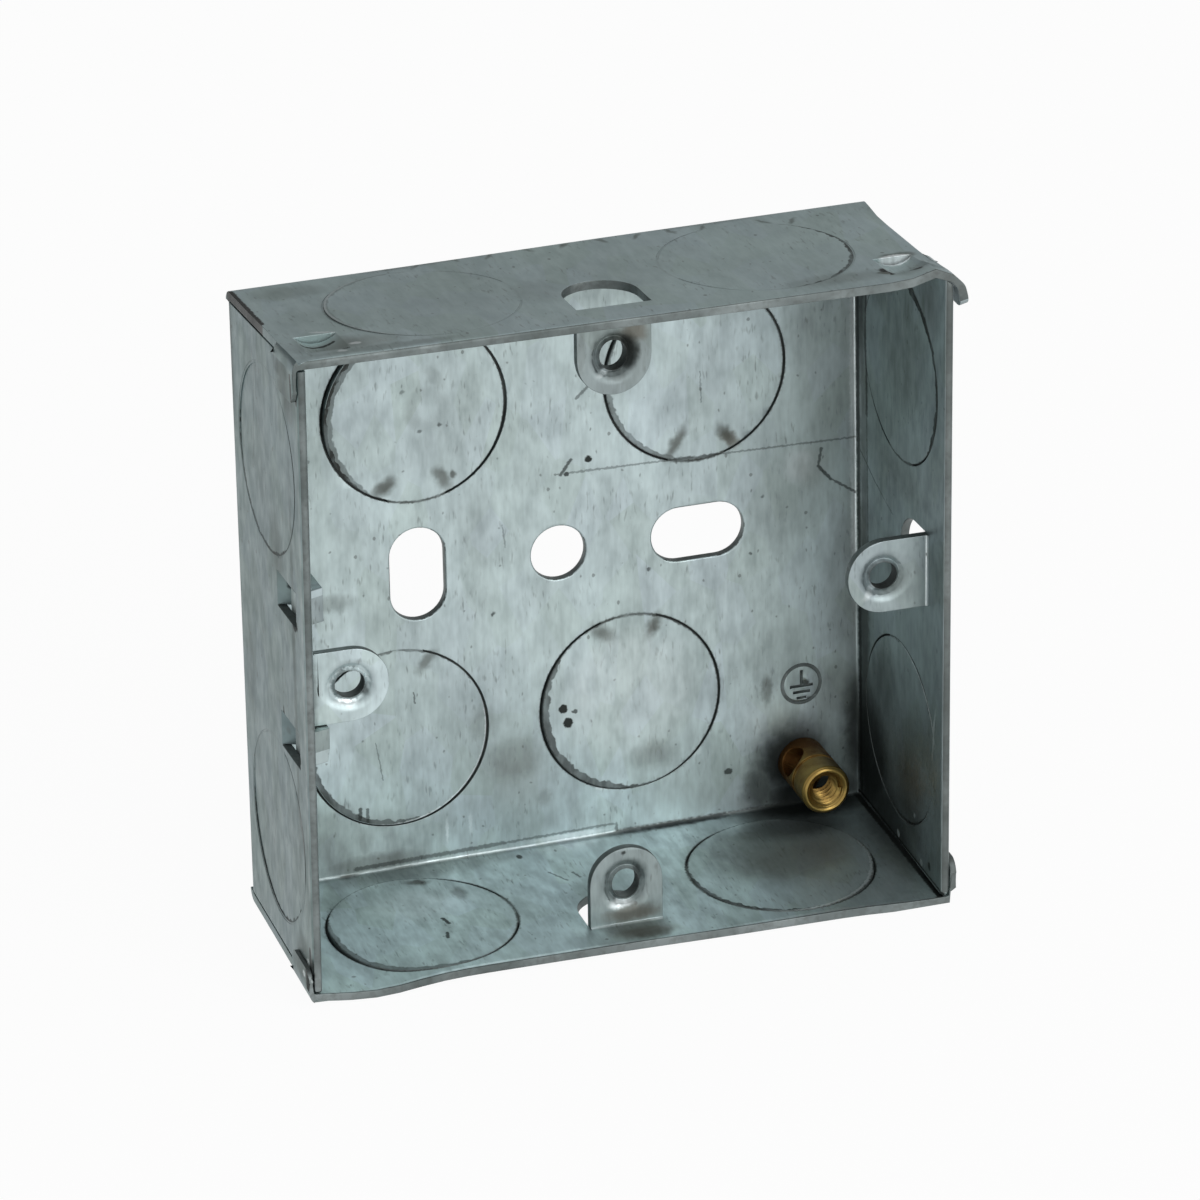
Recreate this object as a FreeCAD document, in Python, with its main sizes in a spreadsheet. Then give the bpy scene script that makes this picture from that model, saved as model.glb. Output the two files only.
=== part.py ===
import FreeCAD, Part
import os
import re
import Sketcher

# One-gang flush back box: a galvanised steel tray folded from one sheet, with three
# screw lugs lanced out of its walls, a fourth lug that slides under two bridges, and a
# turned brass earth terminal riveted to the back.
#
# Millimetres. +X is right, +Y goes into the wall, +Z is up. The origin is the centre of
# the fixing hole on the outer face of the back, and the open front looks along -Y.

SIZES = [
    ("width", 71.2, "outside width of the tray"),
    ("height", 71.2, "outside height of the tray"),
    ("depth", 26.0, "front rim to the outer face of the back"),
    ("sheet", 1.0, "thickness of the steel"),
    ("bend", 0.4, "inside radius of every fold"),
    ("seam", 0.2, "open gap along each corner seam"),
    ("lug_pitch", 60.3, "between opposite lug screws"),
    ("lug_setback", 4.4, "rim to the front face of the lugs"),
    ("lug_width", 8.2, "width of a lug, which ends in a half circle"),
    ("screw_core", 3.0, "core of the M3.5 lug thread"),
    ("dish", 5.2, "mouth of the dish drawn into a lug"),
    ("dish_angle", 90.0, "full angle of that dish"),
    ("collar", 4.8, "outside of the collar pushed out behind a lug"),
    ("collar_rise", 0.9, "height of that collar"),
    ("shear", 0.12, "gap that the lancing tool leaves"),
    ("fixing_hole", 6.2, "screw hole in the middle of the back"),
    ("slot_width", 6.2, "width of the two fixing slots"),
    ("slot_length", 10.6, "length of the two fixing slots"),
    ("slot_pitch", 31.8, "between the middles of the two slots"),
    ("knockout", 20.4, "diameter of every knockout"),
    ("knockout_gap", 0.2, "sheared ring round a knockout"),
    ("knockout_tie", 6.4, "width of the tie that holds a knockout"),
    ("upper_knockout_x", 15.8, "upper knockouts of the back from the middle"),
    ("upper_knockout_z", 18.7, "and their height"),
    ("lower_left_x", 18.8, "lower left knockout of the back from the middle"),
    ("lower_right_x", 7.8, "lower right knockout of the back from the middle"),
    ("lower_knockout_z", 18.8, "and how far both lie below the middle"),
    ("top_knockout_y", 13.2, "knockouts of the top from the back"),
    ("top_knockout_x", 18.4, "and from the middle"),
    ("bottom_knockout_y", 14.2, "knockouts of the bottom from the back"),
    ("bottom_knockout_x", 20.4, "and from the middle"),
    ("side_knockout_y", 13.6, "knockouts of the sides from the back"),
    ("side_knockout_z", 21.0, "and from the middle"),
    ("tab_depth", 7.0, "corner tabs back from the rim"),
    ("tab_drop", 4.6, "corner tabs down the outside of the side walls"),
    ("tab_round", 1.4, "rounded corners of those tabs"),
    ("tab_gap", 0.1, "between a corner tab and the side wall"),
    ("hook_radius", 1.7, "outside radius of the tab that is sprung open"),
    ("hook_angle", 76.0, "how far that tab is folded"),
    ("hook_tail", 2.0, "straight end of that tab"),
    ("clinch_side", 4.0, "clinched strips near the rim from the outside of the sides"),
    ("clinch_y", 4.9, "and from the rim"),
    ("clinch_width", 4.3, "length of a clinched strip"),
    ("clinch_depth", 4.6, "distance between its two slits"),
    ("clinch_press", 0.8, "how far it is pressed in"),
    ("clinch_slit", 0.3, "width of its slits"),
    ("strip_width", 4.0, "width of the sliding lug's strip"),
    ("strip_length", 20.6, "length of that strip"),
    ("strip_play", 0.05, "between the strip and the wall"),
    ("bridge_play", 0.1, "between the strip and the bridges over it"),
    ("bridge_pitch", 16.0, "between the middles of the two bridges"),
    ("bridge_drop", 0.55, "their common middle below the middle of the box"),
    ("bridge_height", 3.8, "height of a bridge"),
    ("bridge_slope", 1.3, "length of a bridge's sloping ends"),
    ("bridge_side_play", 0.2, "between the strip's edges and those ends"),
    ("stop_gap", 0.1, "between the lug and a bridge at either stop"),
    ("post_side", 8.0, "earth terminal from the outside of the right wall"),
    ("post_low", 6.4, "and from the outside of the bottom"),
    ("post", 5.6, "diameter of the terminal"),
    ("post_length", 8.2, "terminal forward of the back's inner face"),
    ("post_chamfer", 0.35, "bevel round the terminal's front"),
    ("post_groove", 0.25, "depth of the turned neck behind its head"),
    ("post_head", 3.0, "length of that head"),
    ("post_neck", 0.5, "length of that neck"),
    ("clamp_core", 3.3, "core of the terminal's M4 screw thread"),
    ("clamp_mouth", 4.5, "mouth of that thread's countersink"),
    ("clamp_depth", 6.6, "depth of that thread"),
    ("wire_hole", 3.4, "cross hole for the wire"),
    ("wire_back", 2.7, "middle of the cross hole from the back's inner face"),
    ("wire_turn", 145.0, "direction of the cross hole, anticlockwise from +X"),
    ("rivet", 4.2, "diameter of the terminal's rivet"),
    ("rivet_head", 5.4, "its closed head, flush in the back"),
    ("rivet_sink", 0.6, "depth of that head"),
]

doc = FreeCAD.newDocument("FlushBackBox")
sizes = doc.addObject("Spreadsheet::Sheet", "Sizes")
for row, (name, value, words) in enumerate(SIZES, start=1):
    sizes.set(f"A{row}", words)
    sizes.set(f"B{row}", str(value))
    sizes.setAlias(f"B{row}", name)
doc.recompute()

NAMES = {name for name, _, _ in SIZES}
HALF = None


def named(formula):
    """Write a formula's size names as references to the sheet's cells."""
    return re.sub(r"[a-z]\w*",
                  lambda word: "Sizes." + word[0] if word[0] in NAMES else word[0], formula)


def number(formula):
    """The value that a formula has now."""
    return float(sizes.evalExpression(named(formula)))


def bind(target, field, formula):
    """Tie a field of an object to a formula of named sizes."""
    target.setExpression(field, named(formula))


def new_body(label):
    body = doc.addObject("PartDesign::Body", label)
    body.Label = label
    return body


def new_sketch(body, name, role, offset="0"):
    """A sketch on one of the body's own origin planes, moved along that plane's normal."""
    sketch = body.newObject("Sketcher::SketchObject", name)
    plane = next(part for part in body.Origin.OriginFeatures if part.Role == role)
    sketch.AttachmentSupport = [(plane, "")]
    sketch.MapMode = "FlatFace"
    bind(sketch, ".AttachmentOffset.Base.z", offset)
    return sketch


def tie_point(sketch, edge, end, x, y):
    """Hold one point of a sketch at two formulas."""
    for kind, formula in (("DistanceX", x), ("DistanceY", y)):
        index = sketch.addConstraint(
            Sketcher.Constraint(kind, -1, 1, edge, end, number(formula)))
        bind(sketch, f"Constraints[{index}]", formula)


def outline(sketch, corners, arcs=None):
    """A closed outline through corners given as formulas.

    arcs maps the number of a side to its radius, or to HALF for a half circle that runs on
    from the side before it, and to where its middle lies: 1 for left of the way round, -1
    for right, and 2 or -2 for the long way about.
    """
    arcs = arcs or {}
    points = [FreeCAD.Vector(number(x), number(y), 0) for x, y in corners]
    count = len(corners)
    sides = []
    for side in range(count):
        start, stop = points[side], points[(side + 1) % count]
        if side not in arcs:
            edge = sketch.addGeometry(Part.LineSegment(start, stop))
            sides.append((edge, 1, 2))
            continue
        radius, bulge = arcs[side]
        size = start.distanceToPoint(stop) / 2 if radius is HALF else number(radius)
        edge = sketch.addGeometry(arc_between(start, stop, size, bulge))
        turned = sketch.getPoint(edge, 1).distanceToPoint(start) > 1e-6
        sides.append((edge, 2, 1) if turned else (edge, 1, 2))
        if radius is not HALF:
            index = sketch.addConstraint(Sketcher.Constraint("Radius", edge, size))
            bind(sketch, f"Constraints[{index}]", radius)
    for side in range(count):
        edge, _, last = sides[side]
        after = (side + 1) % count
        following, first, _ = sides[after]
        smooth = after in arcs and arcs[after][0] is HALF
        sketch.addConstraint(Sketcher.Constraint(
            "Tangent" if smooth else "Coincident", edge, last, following, first))
    for (edge, first, _), (x, y) in zip(sides, corners):
        tie_point(sketch, edge, first, x, y)


def arc_between(start, stop, radius, bulge):
    """The short or long arc between two points, on the left or right of their chord."""
    chord = stop - start
    half = chord.Length / 2
    left = FreeCAD.Vector(-chord.y, chord.x, 0).normalize()
    rise = max(radius ** 2 - half ** 2, 0) ** 0.5
    reach = radius + rise if abs(bulge) > 1 else radius - rise
    middle = (start + stop) / 2 + left * (reach if bulge > 0 else -reach)
    return Part.Arc(start, middle, stop)


def circle(sketch, x, y, diameter):
    centre = FreeCAD.Vector(number(x), number(y), 0)
    radius = number(diameter) / 2
    edge = sketch.addGeometry(Part.Circle(centre, FreeCAD.Vector(0, 0, 1), radius))
    index = sketch.addConstraint(Sketcher.Constraint("Radius", edge, radius))
    bind(sketch, f"Constraints[{index}]", f"({diameter}) / 2")
    tie_point(sketch, edge, 3, x, y)


def rectangle(sketch, left, right, low, high):
    outline(sketch, [(left, low), (right, low), (right, high), (left, high)])


def pad(body, name, sketch, length, both_ways=False):
    """Material along the sketch's normal, or half of it on each side."""
    feature = body.newObject("PartDesign::Pad", name)
    feature.Profile = sketch
    feature.Midplane = both_ways
    bind(feature, "Length", length)
    return feature


def pocket(body, name, sketch, length, both_ways=False):
    """A cut against the sketch's normal, or half of it on each side."""
    feature = body.newObject("PartDesign::Pocket", name)
    feature.Profile = sketch
    feature.Midplane = both_ways
    bind(feature, "Length", length)
    return feature


def fillet(body, name, radius, pick):
    """Round the edges of the body so far that the function pick says yes to."""
    doc.recompute()
    base = body.Tip
    edges = [f"Edge{count}" for count, edge in enumerate(base.Shape.Edges, start=1)
             if pick(edge)]
    feature = body.newObject("PartDesign::Fillet", name)
    feature.Base = (base, edges)
    bind(feature, "Radius", radius)
    return feature


def at(value, target):
    return abs(value - target) < 0.01


# The folds: the sheet keeps its thickness round each of them.
FOLD = "(bend + sheet)"
LUG_FRONT = "(depth - lug_setback)"
LUG_BACK = "(depth - lug_setback - sheet)"

# The outer or inner face of each wall that its cuts start from, as a plane and a place
# along that plane's normal. Every cut then runs one sheet against the normal.
WALLS = {
    "back": ("XZ_Plane", "sheet"),
    "top": ("XY_Plane", "height / 2"),
    "bottom": ("XY_Plane", "sheet - height / 2"),
    "right": ("YZ_Plane", "width / 2"),
    "left": ("YZ_Plane", "sheet - width / 2"),
}


def wall_cut(body, name, wall, draw):
    """Cut through one wall what the function draw puts in its sketch."""
    role, offset = WALLS[wall]
    sketch = new_sketch(body, name + "_sketch", role, offset)
    draw(sketch)
    return pocket(body, name, sketch, "sheet")


def fold_tray(body):
    """The back with its top and bottom folded forward, then the two sides."""
    top, low = "height / 2", "-height / 2"
    section = new_sketch(body, "channel_section", "YZ_Plane")
    outline(section, [
        ("-depth", top), (f"-{FOLD}", top), ("0", f"{top} - {FOLD}"),
        ("0", f"{low} + {FOLD}"), (f"-{FOLD}", low), ("-depth", low),
        ("-depth", f"{low} + sheet"), (f"-{FOLD}", f"{low} + sheet"),
        ("-sheet", f"{low} + {FOLD}"), ("-sheet", f"{top} - {FOLD}"),
        (f"-{FOLD}", f"{top} - sheet"), ("-depth", f"{top} - sheet"),
    ], arcs={1: (FOLD, 1), 3: (FOLD, 1), 7: ("bend", -1), 9: ("bend", -1)})
    pad(body, "channel", section, "width", both_ways=True)

    notches = new_sketch(body, "side_notch_sketch", "XZ_Plane", FOLD)
    side_end = "(height / 2 - sheet - seam)"
    rectangle(notches, f"width / 2 - {FOLD}", "width", f"-{side_end}", side_end)
    rectangle(notches, "-width", f"{FOLD} - width / 2", f"-{side_end}", side_end)
    pocket(body, "side_notches", notches, FOLD)

    sides = new_sketch(body, "side_section", "XY_Plane")
    for hand, bulge in (("", 1), ("-", -1)):
        outline(sides, [
            (f"{hand}(width / 2 - {FOLD})", "0"), (f"{hand}(width / 2)", f"-{FOLD}"),
            (f"{hand}(width / 2)", "-depth"), (f"{hand}(width / 2 - sheet)", "-depth"),
            (f"{hand}(width / 2 - sheet)", f"-{FOLD}"),
            (f"{hand}(width / 2 - {FOLD})", "-sheet"),
        ], arcs={0: (FOLD, bulge), 4: ("bend", -bulge)})
    pad(body, "sides", sides, f"2 * {side_end}", both_ways=True)


def corner_tabs(body):
    """Ears of the top and bottom, folded round the outside of the side walls."""
    for name, hand, up in (("top_left", "-", ""), ("bottom_left", "-", "-"),
                           ("bottom_right", "", "-")):
        inner, outer = "(width / 2 + tab_gap)", "(width / 2 + tab_gap + sheet)"
        bulge = 1 if hand == up else -1
        section = new_sketch(body, name + "_tab_section", "XZ_Plane", "depth - tab_depth")
        outline(section, [
            (f"{hand}({inner} - bend)", f"{up}(height / 2)"),
            (f"{hand}{outer}", f"{up}(height / 2 - {FOLD})"),
            (f"{hand}{outer}", f"{up}(height / 2 - tab_drop)"),
            (f"{hand}{inner}", f"{up}(height / 2 - tab_drop)"),
            (f"{hand}{inner}", f"{up}(height / 2 - {FOLD})"),
            (f"{hand}({inner} - bend)", f"{up}(height / 2 - sheet)"),
        ], arcs={0: (FOLD, bulge), 4: ("bend", -bulge)})
        pad(body, name + "_tab", section, "tab_depth")


def sprung_tab(body):
    """The top right ear, which has sprung open into a hook."""
    start = "(width / 2 + tab_gap - bend)"
    inner = "(hook_radius - sheet)"
    across, down = "sin(hook_angle)", "cos(hook_angle)"
    pivot = "(height / 2 - hook_radius)"

    def point(radius, tail):
        return (f"{start} + {radius} * {across} + {tail} * {down}",
                f"{pivot} + {radius} * {down} - {tail} * {across}")

    section = new_sketch(body, "top_right_tab_section", "XZ_Plane", "depth - tab_depth")
    outline(section, [
        (start, "height / 2"), point("hook_radius", "0"), point("hook_radius", "hook_tail"),
        point(inner, "hook_tail"), point(inner, "0"), (start, "height / 2 - sheet"),
    ], arcs={0: ("hook_radius", 1), 4: (inner, -1)})
    pad(body, "top_right_tab", section, "tab_depth")


def rounded_tab_corners(body):
    """Round the free corners of the ears as the blanking tool does."""
    outside = number("width / 2 + tab_gap / 2")
    rim, rear = -number("depth"), number("tab_depth - depth")
    thickness = number("sheet")

    def pick(edge):
        ends = all(at(p.y, rim) or at(p.y, rear) for p in edge.discretize(3))
        return (ends and at(edge.Length, thickness)
                and all(abs(p.x) > outside for p in edge.discretize(3)))

    fillet(body, "tab_corners", "tab_round", pick)


def lugs(body):
    """Three lugs folded in from the walls, drilled and dished, and their windows."""
    root = "sheet / 2"
    half = "(lug_width / 2)"
    centre = "(lug_pitch / 2)"
    plates = new_sketch(body, "lug_outlines", "XZ_Plane", LUG_BACK)
    outline(plates, [(f"-{half}", f"height / 2 - {root}"), (f"-{half}", centre),
                     (half, centre), (half, f"height / 2 - {root}")], arcs={1: (HALF, -1)})
    outline(plates, [(half, f"{root} - height / 2"), (half, f"-{centre}"),
                     (f"-{half}", f"-{centre}"), (f"-{half}", f"{root} - height / 2")],
            arcs={1: (HALF, -1)})
    outline(plates, [(f"width / 2 - {root}", half), (centre, half),
                     (centre, f"-{half}"), (f"width / 2 - {root}", f"-{half}")],
            arcs={1: (HALF, -1)})
    pad(body, "lug_plates", plates, "sheet")

    places = [("0", centre), ("0", f"-{centre}"), (centre, "0")]
    collars = new_sketch(body, "lug_collar_circles", "XZ_Plane", f"{LUG_BACK} - collar_rise")
    for x, z in places:
        circle(collars, x, z, "collar")
    pad(body, "lug_collars", collars, "collar_rise + sheet / 2")

    side = half
    front = f"-{LUG_BACK}"
    for wall, reach in (("top", "height"), ("bottom", "height"), ("right", "width")):
        end = f"(({reach} / 2 - sheet - lug_pitch / 2) - sheet / 2 - {LUG_FRONT})"

        def window(sketch):
            corners = [(f"-{side}", front), (side, front), (side, end), (f"-{side}", end)]
            if wall == "right":
                corners = [(y, x) for x, y in reversed(corners)]
                outline(sketch, corners, arcs={0: (HALF, -1)})
            else:
                outline(sketch, corners, arcs={2: (HALF, -1)})

        wall_cut(body, f"{wall}_lug_window", wall, window)

    back, front = f"-{LUG_BACK}", f"-{LUG_FRONT}"
    fold(body, "top_lug", "YZ_Plane", "0", (back, "height / 2"),
         (front, "height / 2 - sheet"), "-", "-")
    fold(body, "bottom_lug", "YZ_Plane", "0", (back, "-height / 2"),
         (front, "sheet - height / 2"), "-", "+")
    fold(body, "right_lug", "XY_Plane", "0", ("width / 2", back),
         ("width / 2 - sheet", front), "-", "-")
    tapped_holes(body, "lug_threads", places)


def fold(body, name, role, middle, outer, inner, across, along):
    """Round the root of a lug outside and in, so that its sheet keeps its thickness.

    outer and inner are the two corners of the square root in a section through it, and
    across and along are the signs of the two ways from the outer corner into the metal.
    """
    bulge = 1 if across == along else -1

    def corner(sketch, at_corner, radius):
        x, y = at_corner
        outline(sketch, [(x, y), (f"{x} {across} {radius}", y), (x, f"{y} {along} {radius}")],
                arcs={1: (radius, bulge)})

    relief = new_sketch(body, name + "_outer_fold_section", role, middle)
    corner(relief, outer, FOLD)
    pocket(body, name + "_outer_fold", relief, "lug_width", both_ways=True)
    filling = new_sketch(body, name + "_inner_fold_section", role, middle)
    corner(filling, inner, "bend")
    pad(body, name + "_inner_fold", filling, "lug_width", both_ways=True)


def drill(body, name, marks, diameter, depth, mouth, angle, reverse=False):
    """Countersunk holes at the circles of a sketch."""
    doc.recompute()
    feature = body.newObject("PartDesign::Hole", name)
    feature.Profile = marks
    feature.ThreadType = "None"
    feature.DepthType = "Dimension"
    feature.DrillPoint = "Flat"
    feature.HoleCutType = "Countersink"
    feature.Reversed = reverse
    bind(feature, "Diameter", diameter)
    bind(feature, "Depth", depth)
    bind(feature, "HoleCutDiameter", mouth)
    bind(feature, "HoleCutCountersinkAngle", angle)


def tapped_holes(body, name, places):
    """Dished and tapped holes from the front face of a lug through its collar."""
    marks = new_sketch(body, name + "_sketch", "XZ_Plane", LUG_FRONT)
    for x, z in places:
        circle(marks, x, z, "screw_core")
    drill(body, name, marks, "screw_core", "2 * (sheet + collar_rise)", "dish", "dish_angle")


def knockout(sketch, x, y, tie_side):
    """The sheared ring of one knockout, which is open at the tie.

    tie_side is the way from the middle of the knockout to its tie, such as "-y".
    """
    gap_in, gap_out = "(knockout / 2)", "(knockout / 2 + knockout_gap)"
    half = "(knockout_tie / 2)"
    sign, axis = tie_side

    def rim(radius, hand):
        along = f"sqrt({radius} * {radius} - {half} * {half})"
        if axis == "y":
            return (f"{x} {hand} {half}", f"{y} {sign} {along}")
        return (f"{x} {sign} {along}", f"{y} {hand} {half}")

    first, last = ("-", "+") if (sign == "-") == (axis == "y") else ("+", "-")
    outline(sketch, [rim(gap_out, last), rim(gap_out, first),
                     rim(gap_in, first), rim(gap_in, last)],
            arcs={0: (gap_out, -2), 2: (gap_in, 2)})


def knockouts(body):
    """Four conduit knockouts in the back and two in each wall."""
    def back(sketch):
        knockout(sketch, "-upper_knockout_x", "upper_knockout_z", "-y")
        knockout(sketch, "upper_knockout_x", "upper_knockout_z", "-y")
        knockout(sketch, "-lower_left_x", "-lower_knockout_z", "+y")
        knockout(sketch, "lower_right_x", "-lower_knockout_z", "+y")

    def across(wall):
        def draw(sketch):
            for hand, tie in (("-", "+x"), ("", "-x")):
                knockout(sketch, f"{hand}{wall}_knockout_x", f"-{wall}_knockout_y", tie)
        return draw

    def upright(sketch):
        for hand, tie in (("-", "+y"), ("", "-y")):
            knockout(sketch, "-side_knockout_y", f"{hand}side_knockout_z", tie)

    wall_cut(body, "back_knockouts", "back", back)
    wall_cut(body, "top_knockouts", "top", across("top"))
    wall_cut(body, "bottom_knockouts", "bottom", across("bottom"))
    wall_cut(body, "right_knockouts", "right", upright)
    wall_cut(body, "left_knockouts", "left", upright)


def fixing_holes(body):
    """The round hole, the upright slot and the level slot that screw the box to a wall."""
    radius = "(slot_width / 2)"
    run = "((slot_length - slot_width) / 2)"
    left, right = "(-slot_pitch / 2)", "(slot_pitch / 2)"

    def draw(sketch):
        circle(sketch, "0", "0", "fixing_hole")
        outline(sketch, [
            (f"{left} - {radius}", f"-{run}"), (f"{left} + {radius}", f"-{run}"),
            (f"{left} + {radius}", run), (f"{left} - {radius}", run),
        ], arcs={0: (HALF, -1), 2: (HALF, -1)})
        outline(sketch, [
            (f"{right} - {run}", f"-{radius}"), (f"{right} + {run}", f"-{radius}"),
            (f"{right} + {run}", radius), (f"{right} - {run}", radius),
        ], arcs={1: (HALF, -1), 3: (HALF, -1)})

    wall_cut(body, "fixing_holes", "back", draw)


def clinches(body):
    """Short strips of the top, pressed in near the rim to lock the corners."""
    half = "(clinch_width / 2)"
    clinch_x = "(width / 2 - clinch_side)"
    middle = "(clinch_y - depth)"
    cut = "(clinch_depth / 2 + clinch_slit)"
    press = "clinch_press"
    arc = f"(({half} * {half} + {press} * {press}) / (2 * {press}))"

    def windows(sketch):
        for hand in ("-", ""):
            rectangle(sketch, f"{hand}{clinch_x} - {half}", f"{hand}{clinch_x} + {half}",
                      f"{middle} - {cut}", f"{middle} + {cut}")

    wall_cut(body, "clinch_windows", "top", windows)
    strips = new_sketch(body, "clinch_section", "XZ_Plane",
                        "depth - clinch_y - clinch_depth / 2")
    for hand in ("-", ""):
        left, right = f"{hand}{clinch_x} - {half}", f"{hand}{clinch_x} + {half}"
        outline(strips, [
            (left, "height / 2"), (right, "height / 2"),
            (right, "height / 2 - sheet"), (left, "height / 2 - sheet"),
        ], arcs={0: (arc, -1), 2: (arc, 1)})
    pad(body, "clinch_strips", strips, "clinch_depth")


# The two bridges of the left wall, and the strip that slides under them.
STRIP_OUTSIDE = "(sheet + strip_play - width / 2)"
STRIP_INSIDE = "(2 * sheet + strip_play - width / 2)"
STRIP_REAR = "(strip_width - depth + lug_setback)"
BRIDGE_UNDER = "(2 * sheet + strip_play + bridge_play - width / 2)"
SLIDE_BOTTOM = "(bridge_height / 2 - bridge_pitch / 2 - bridge_drop + stop_gap)"
SLIDE_MIDDLE = f"({SLIDE_BOTTOM} + lug_width / 2)"


def bridges(body):
    """Two strips of the left wall pushed in over the sliding lug."""
    for name, side in (("upper", "+"), ("lower", "-")):
        middle = f"({side} bridge_pitch / 2 - bridge_drop)"
        front = f"(-{LUG_FRONT} - bridge_side_play)"
        rear = f"({STRIP_REAR} + bridge_side_play)"
        half = "(bridge_height / 2)"

        def window(sketch):
            rectangle(sketch, f"{front} - bridge_slope", f"{rear} + bridge_slope",
                      f"{middle} - {half} - shear", f"{middle} + {half} + shear")

        wall_cut(body, f"{name}_bridge_window", "left", window)
        wall_out, wall_in = "(-width / 2)", "(sheet - width / 2)"
        section = new_sketch(body, f"{name}_bridge_section", "XY_Plane", f"{middle} - {half}")
        outline(section, [
            (wall_out, f"{front} - bridge_slope"), (wall_in, f"{front} - bridge_slope"),
            (f"{BRIDGE_UNDER} + sheet", f"{front} - sheet / 2"),
            (f"{BRIDGE_UNDER} + sheet", f"{rear} + sheet / 2"),
            (wall_in, f"{rear} + bridge_slope"), (wall_out, f"{rear} + bridge_slope"),
            (BRIDGE_UNDER, rear), (BRIDGE_UNDER, front),
        ])
        pad(body, f"{name}_bridge", section, "bridge_height")


# The axis of the earth terminal, in its corner of the back.
POST_X = "(width / 2 - post_side)"
POST_Z = "(post_low - height / 2)"


def terminal_seat(body):
    """The hole and countersink in the back for the earth terminal's rivet."""
    seat = new_sketch(body, "terminal_seat_sketch", "XZ_Plane")
    circle(seat, POST_X, POST_Z, "rivet")
    drill(body, "terminal_seat", seat, "rivet", "2 * sheet", "rivet_head",
          "2 * atan((rivet_head - rivet) / 2 / rivet_sink)", reverse=True)


def make_box_body():
    body = new_body("box_body")
    fold_tray(body)
    corner_tabs(body)
    sprung_tab(body)
    rounded_tab_corners(body)
    lugs(body)
    bridges(body)
    clinches(body)
    fixing_holes(body)
    knockouts(body)
    terminal_seat(body)
    return body


def make_adjustable_lug():
    """A lug folded from the front edge of a strip that slides up and down the wall."""
    body = new_body("adjustable_lug")
    half = "(lug_width / 2)"
    centre = "(-lug_pitch / 2)"
    strip = new_sketch(body, "strip_outline", "YZ_Plane", STRIP_OUTSIDE)
    rectangle(strip, f"-{LUG_FRONT}", STRIP_REAR, f"{SLIDE_MIDDLE} - strip_length / 2",
              f"{SLIDE_MIDDLE} + strip_length / 2")
    pad(body, "strip", strip, "sheet")
    plate = new_sketch(body, "lug_outline", "XZ_Plane", LUG_BACK)
    outline(plate, [
        (STRIP_OUTSIDE, f"{SLIDE_MIDDLE} - {half}"), (centre, f"{SLIDE_MIDDLE} - {half}"),
        (centre, f"{SLIDE_MIDDLE} + {half}"), (STRIP_OUTSIDE, f"{SLIDE_MIDDLE} + {half}"),
    ], arcs={1: (HALF, -1)})
    pad(body, "lug_plate", plate, "sheet")
    collar = new_sketch(body, "collar_circle", "XZ_Plane", f"{LUG_BACK} - collar_rise")
    circle(collar, centre, SLIDE_MIDDLE, "collar")
    pad(body, "lug_collar", collar, "collar_rise + sheet / 2")

    fold(body, "sliding_lug", "XY_Plane", SLIDE_MIDDLE, (STRIP_OUTSIDE, f"-{LUG_FRONT}"),
         (STRIP_INSIDE, f"-{LUG_BACK}"), "+", "+")
    tapped_holes(body, "lug_thread", [(centre, SLIDE_MIDDLE)])
    return body


def make_earth_terminal():
    """A turned brass post: head, neck, shank, and a rivet closed flush with the back."""
    body = new_body("earth_terminal")
    front = "(-sheet - post_length)"
    neck = f"({front} + post_head)"
    waist = "(post / 2 - post_groove)"
    profile = [
        ("0", "0"), ("rivet_head / 2", "0"), ("rivet / 2", "-rivet_sink"),
        ("rivet / 2", "-sheet"), ("post / 2", "-sheet"), ("post / 2", f"{neck} + post_neck"),
        (waist, f"{neck} + post_neck"), (waist, neck), ("post / 2", neck),
        ("post / 2", f"{front} + post_chamfer"), ("post / 2 - post_chamfer", front),
        ("0", front),
    ]
    section = new_sketch(body, "turned_section", "XY_Plane", POST_Z)
    outline(section, [(f"{POST_X} + {radius}", y) for radius, y in profile])
    middle_line = section.addGeometry(
        Part.LineSegment(FreeCAD.Vector(number(POST_X), number(front), 0),
                         FreeCAD.Vector(number(POST_X), 0, 0)), True)
    tie_point(section, middle_line, 1, POST_X, front)
    tie_point(section, middle_line, 2, POST_X, "0")
    turned = body.newObject("PartDesign::Revolution", "turned_post")
    turned.Profile = section
    turned.ReferenceAxis = (section, ["Axis0"])
    turned.Angle = 360

    marks = new_sketch(body, "clamp_thread_sketch", "XZ_Plane", "sheet + post_length")
    circle(marks, POST_X, POST_Z, "clamp_core")
    drill(body, "clamp_thread", marks, "clamp_core", "clamp_depth", "clamp_mouth", "dish_angle")

    cross = new_sketch(body, "wire_hole_sketch", "YZ_Plane", POST_X)
    cross.AttachmentOffset = FreeCAD.Placement(
        FreeCAD.Vector(0, 0, 0), FreeCAD.Rotation(FreeCAD.Vector(1, 0, 0), -1))
    bind(cross, ".AttachmentOffset.Base.y", POST_Z)
    bind(cross, ".AttachmentOffset.Base.z", POST_X)
    bind(cross, ".AttachmentOffset.Rotation.Angle", "-wire_turn")
    circle(cross, "-sheet - wire_back", "0", "wire_hole")
    pocket(body, "wire_hole", cross, "2 * post", both_ways=True)
    return body


def check(part):
    """Stop if any feature failed or the solid is not one valid solid."""
    for feature in [part] + part.Group:
        bad = {"Invalid", "Error"} & set(feature.State)
        if bad:
            raise RuntimeError(f"{feature.Label} did not build: {feature.State}")
    if part.Shape.isNull() or not part.Shape.isValid() or len(part.Shape.Solids) != 1:
        raise RuntimeError(f"{part.Label} is not one valid solid")


parts = [make_box_body(), make_adjustable_lug(), make_earth_terminal()]
doc.recompute()
for part in parts:
    check(part)

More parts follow.
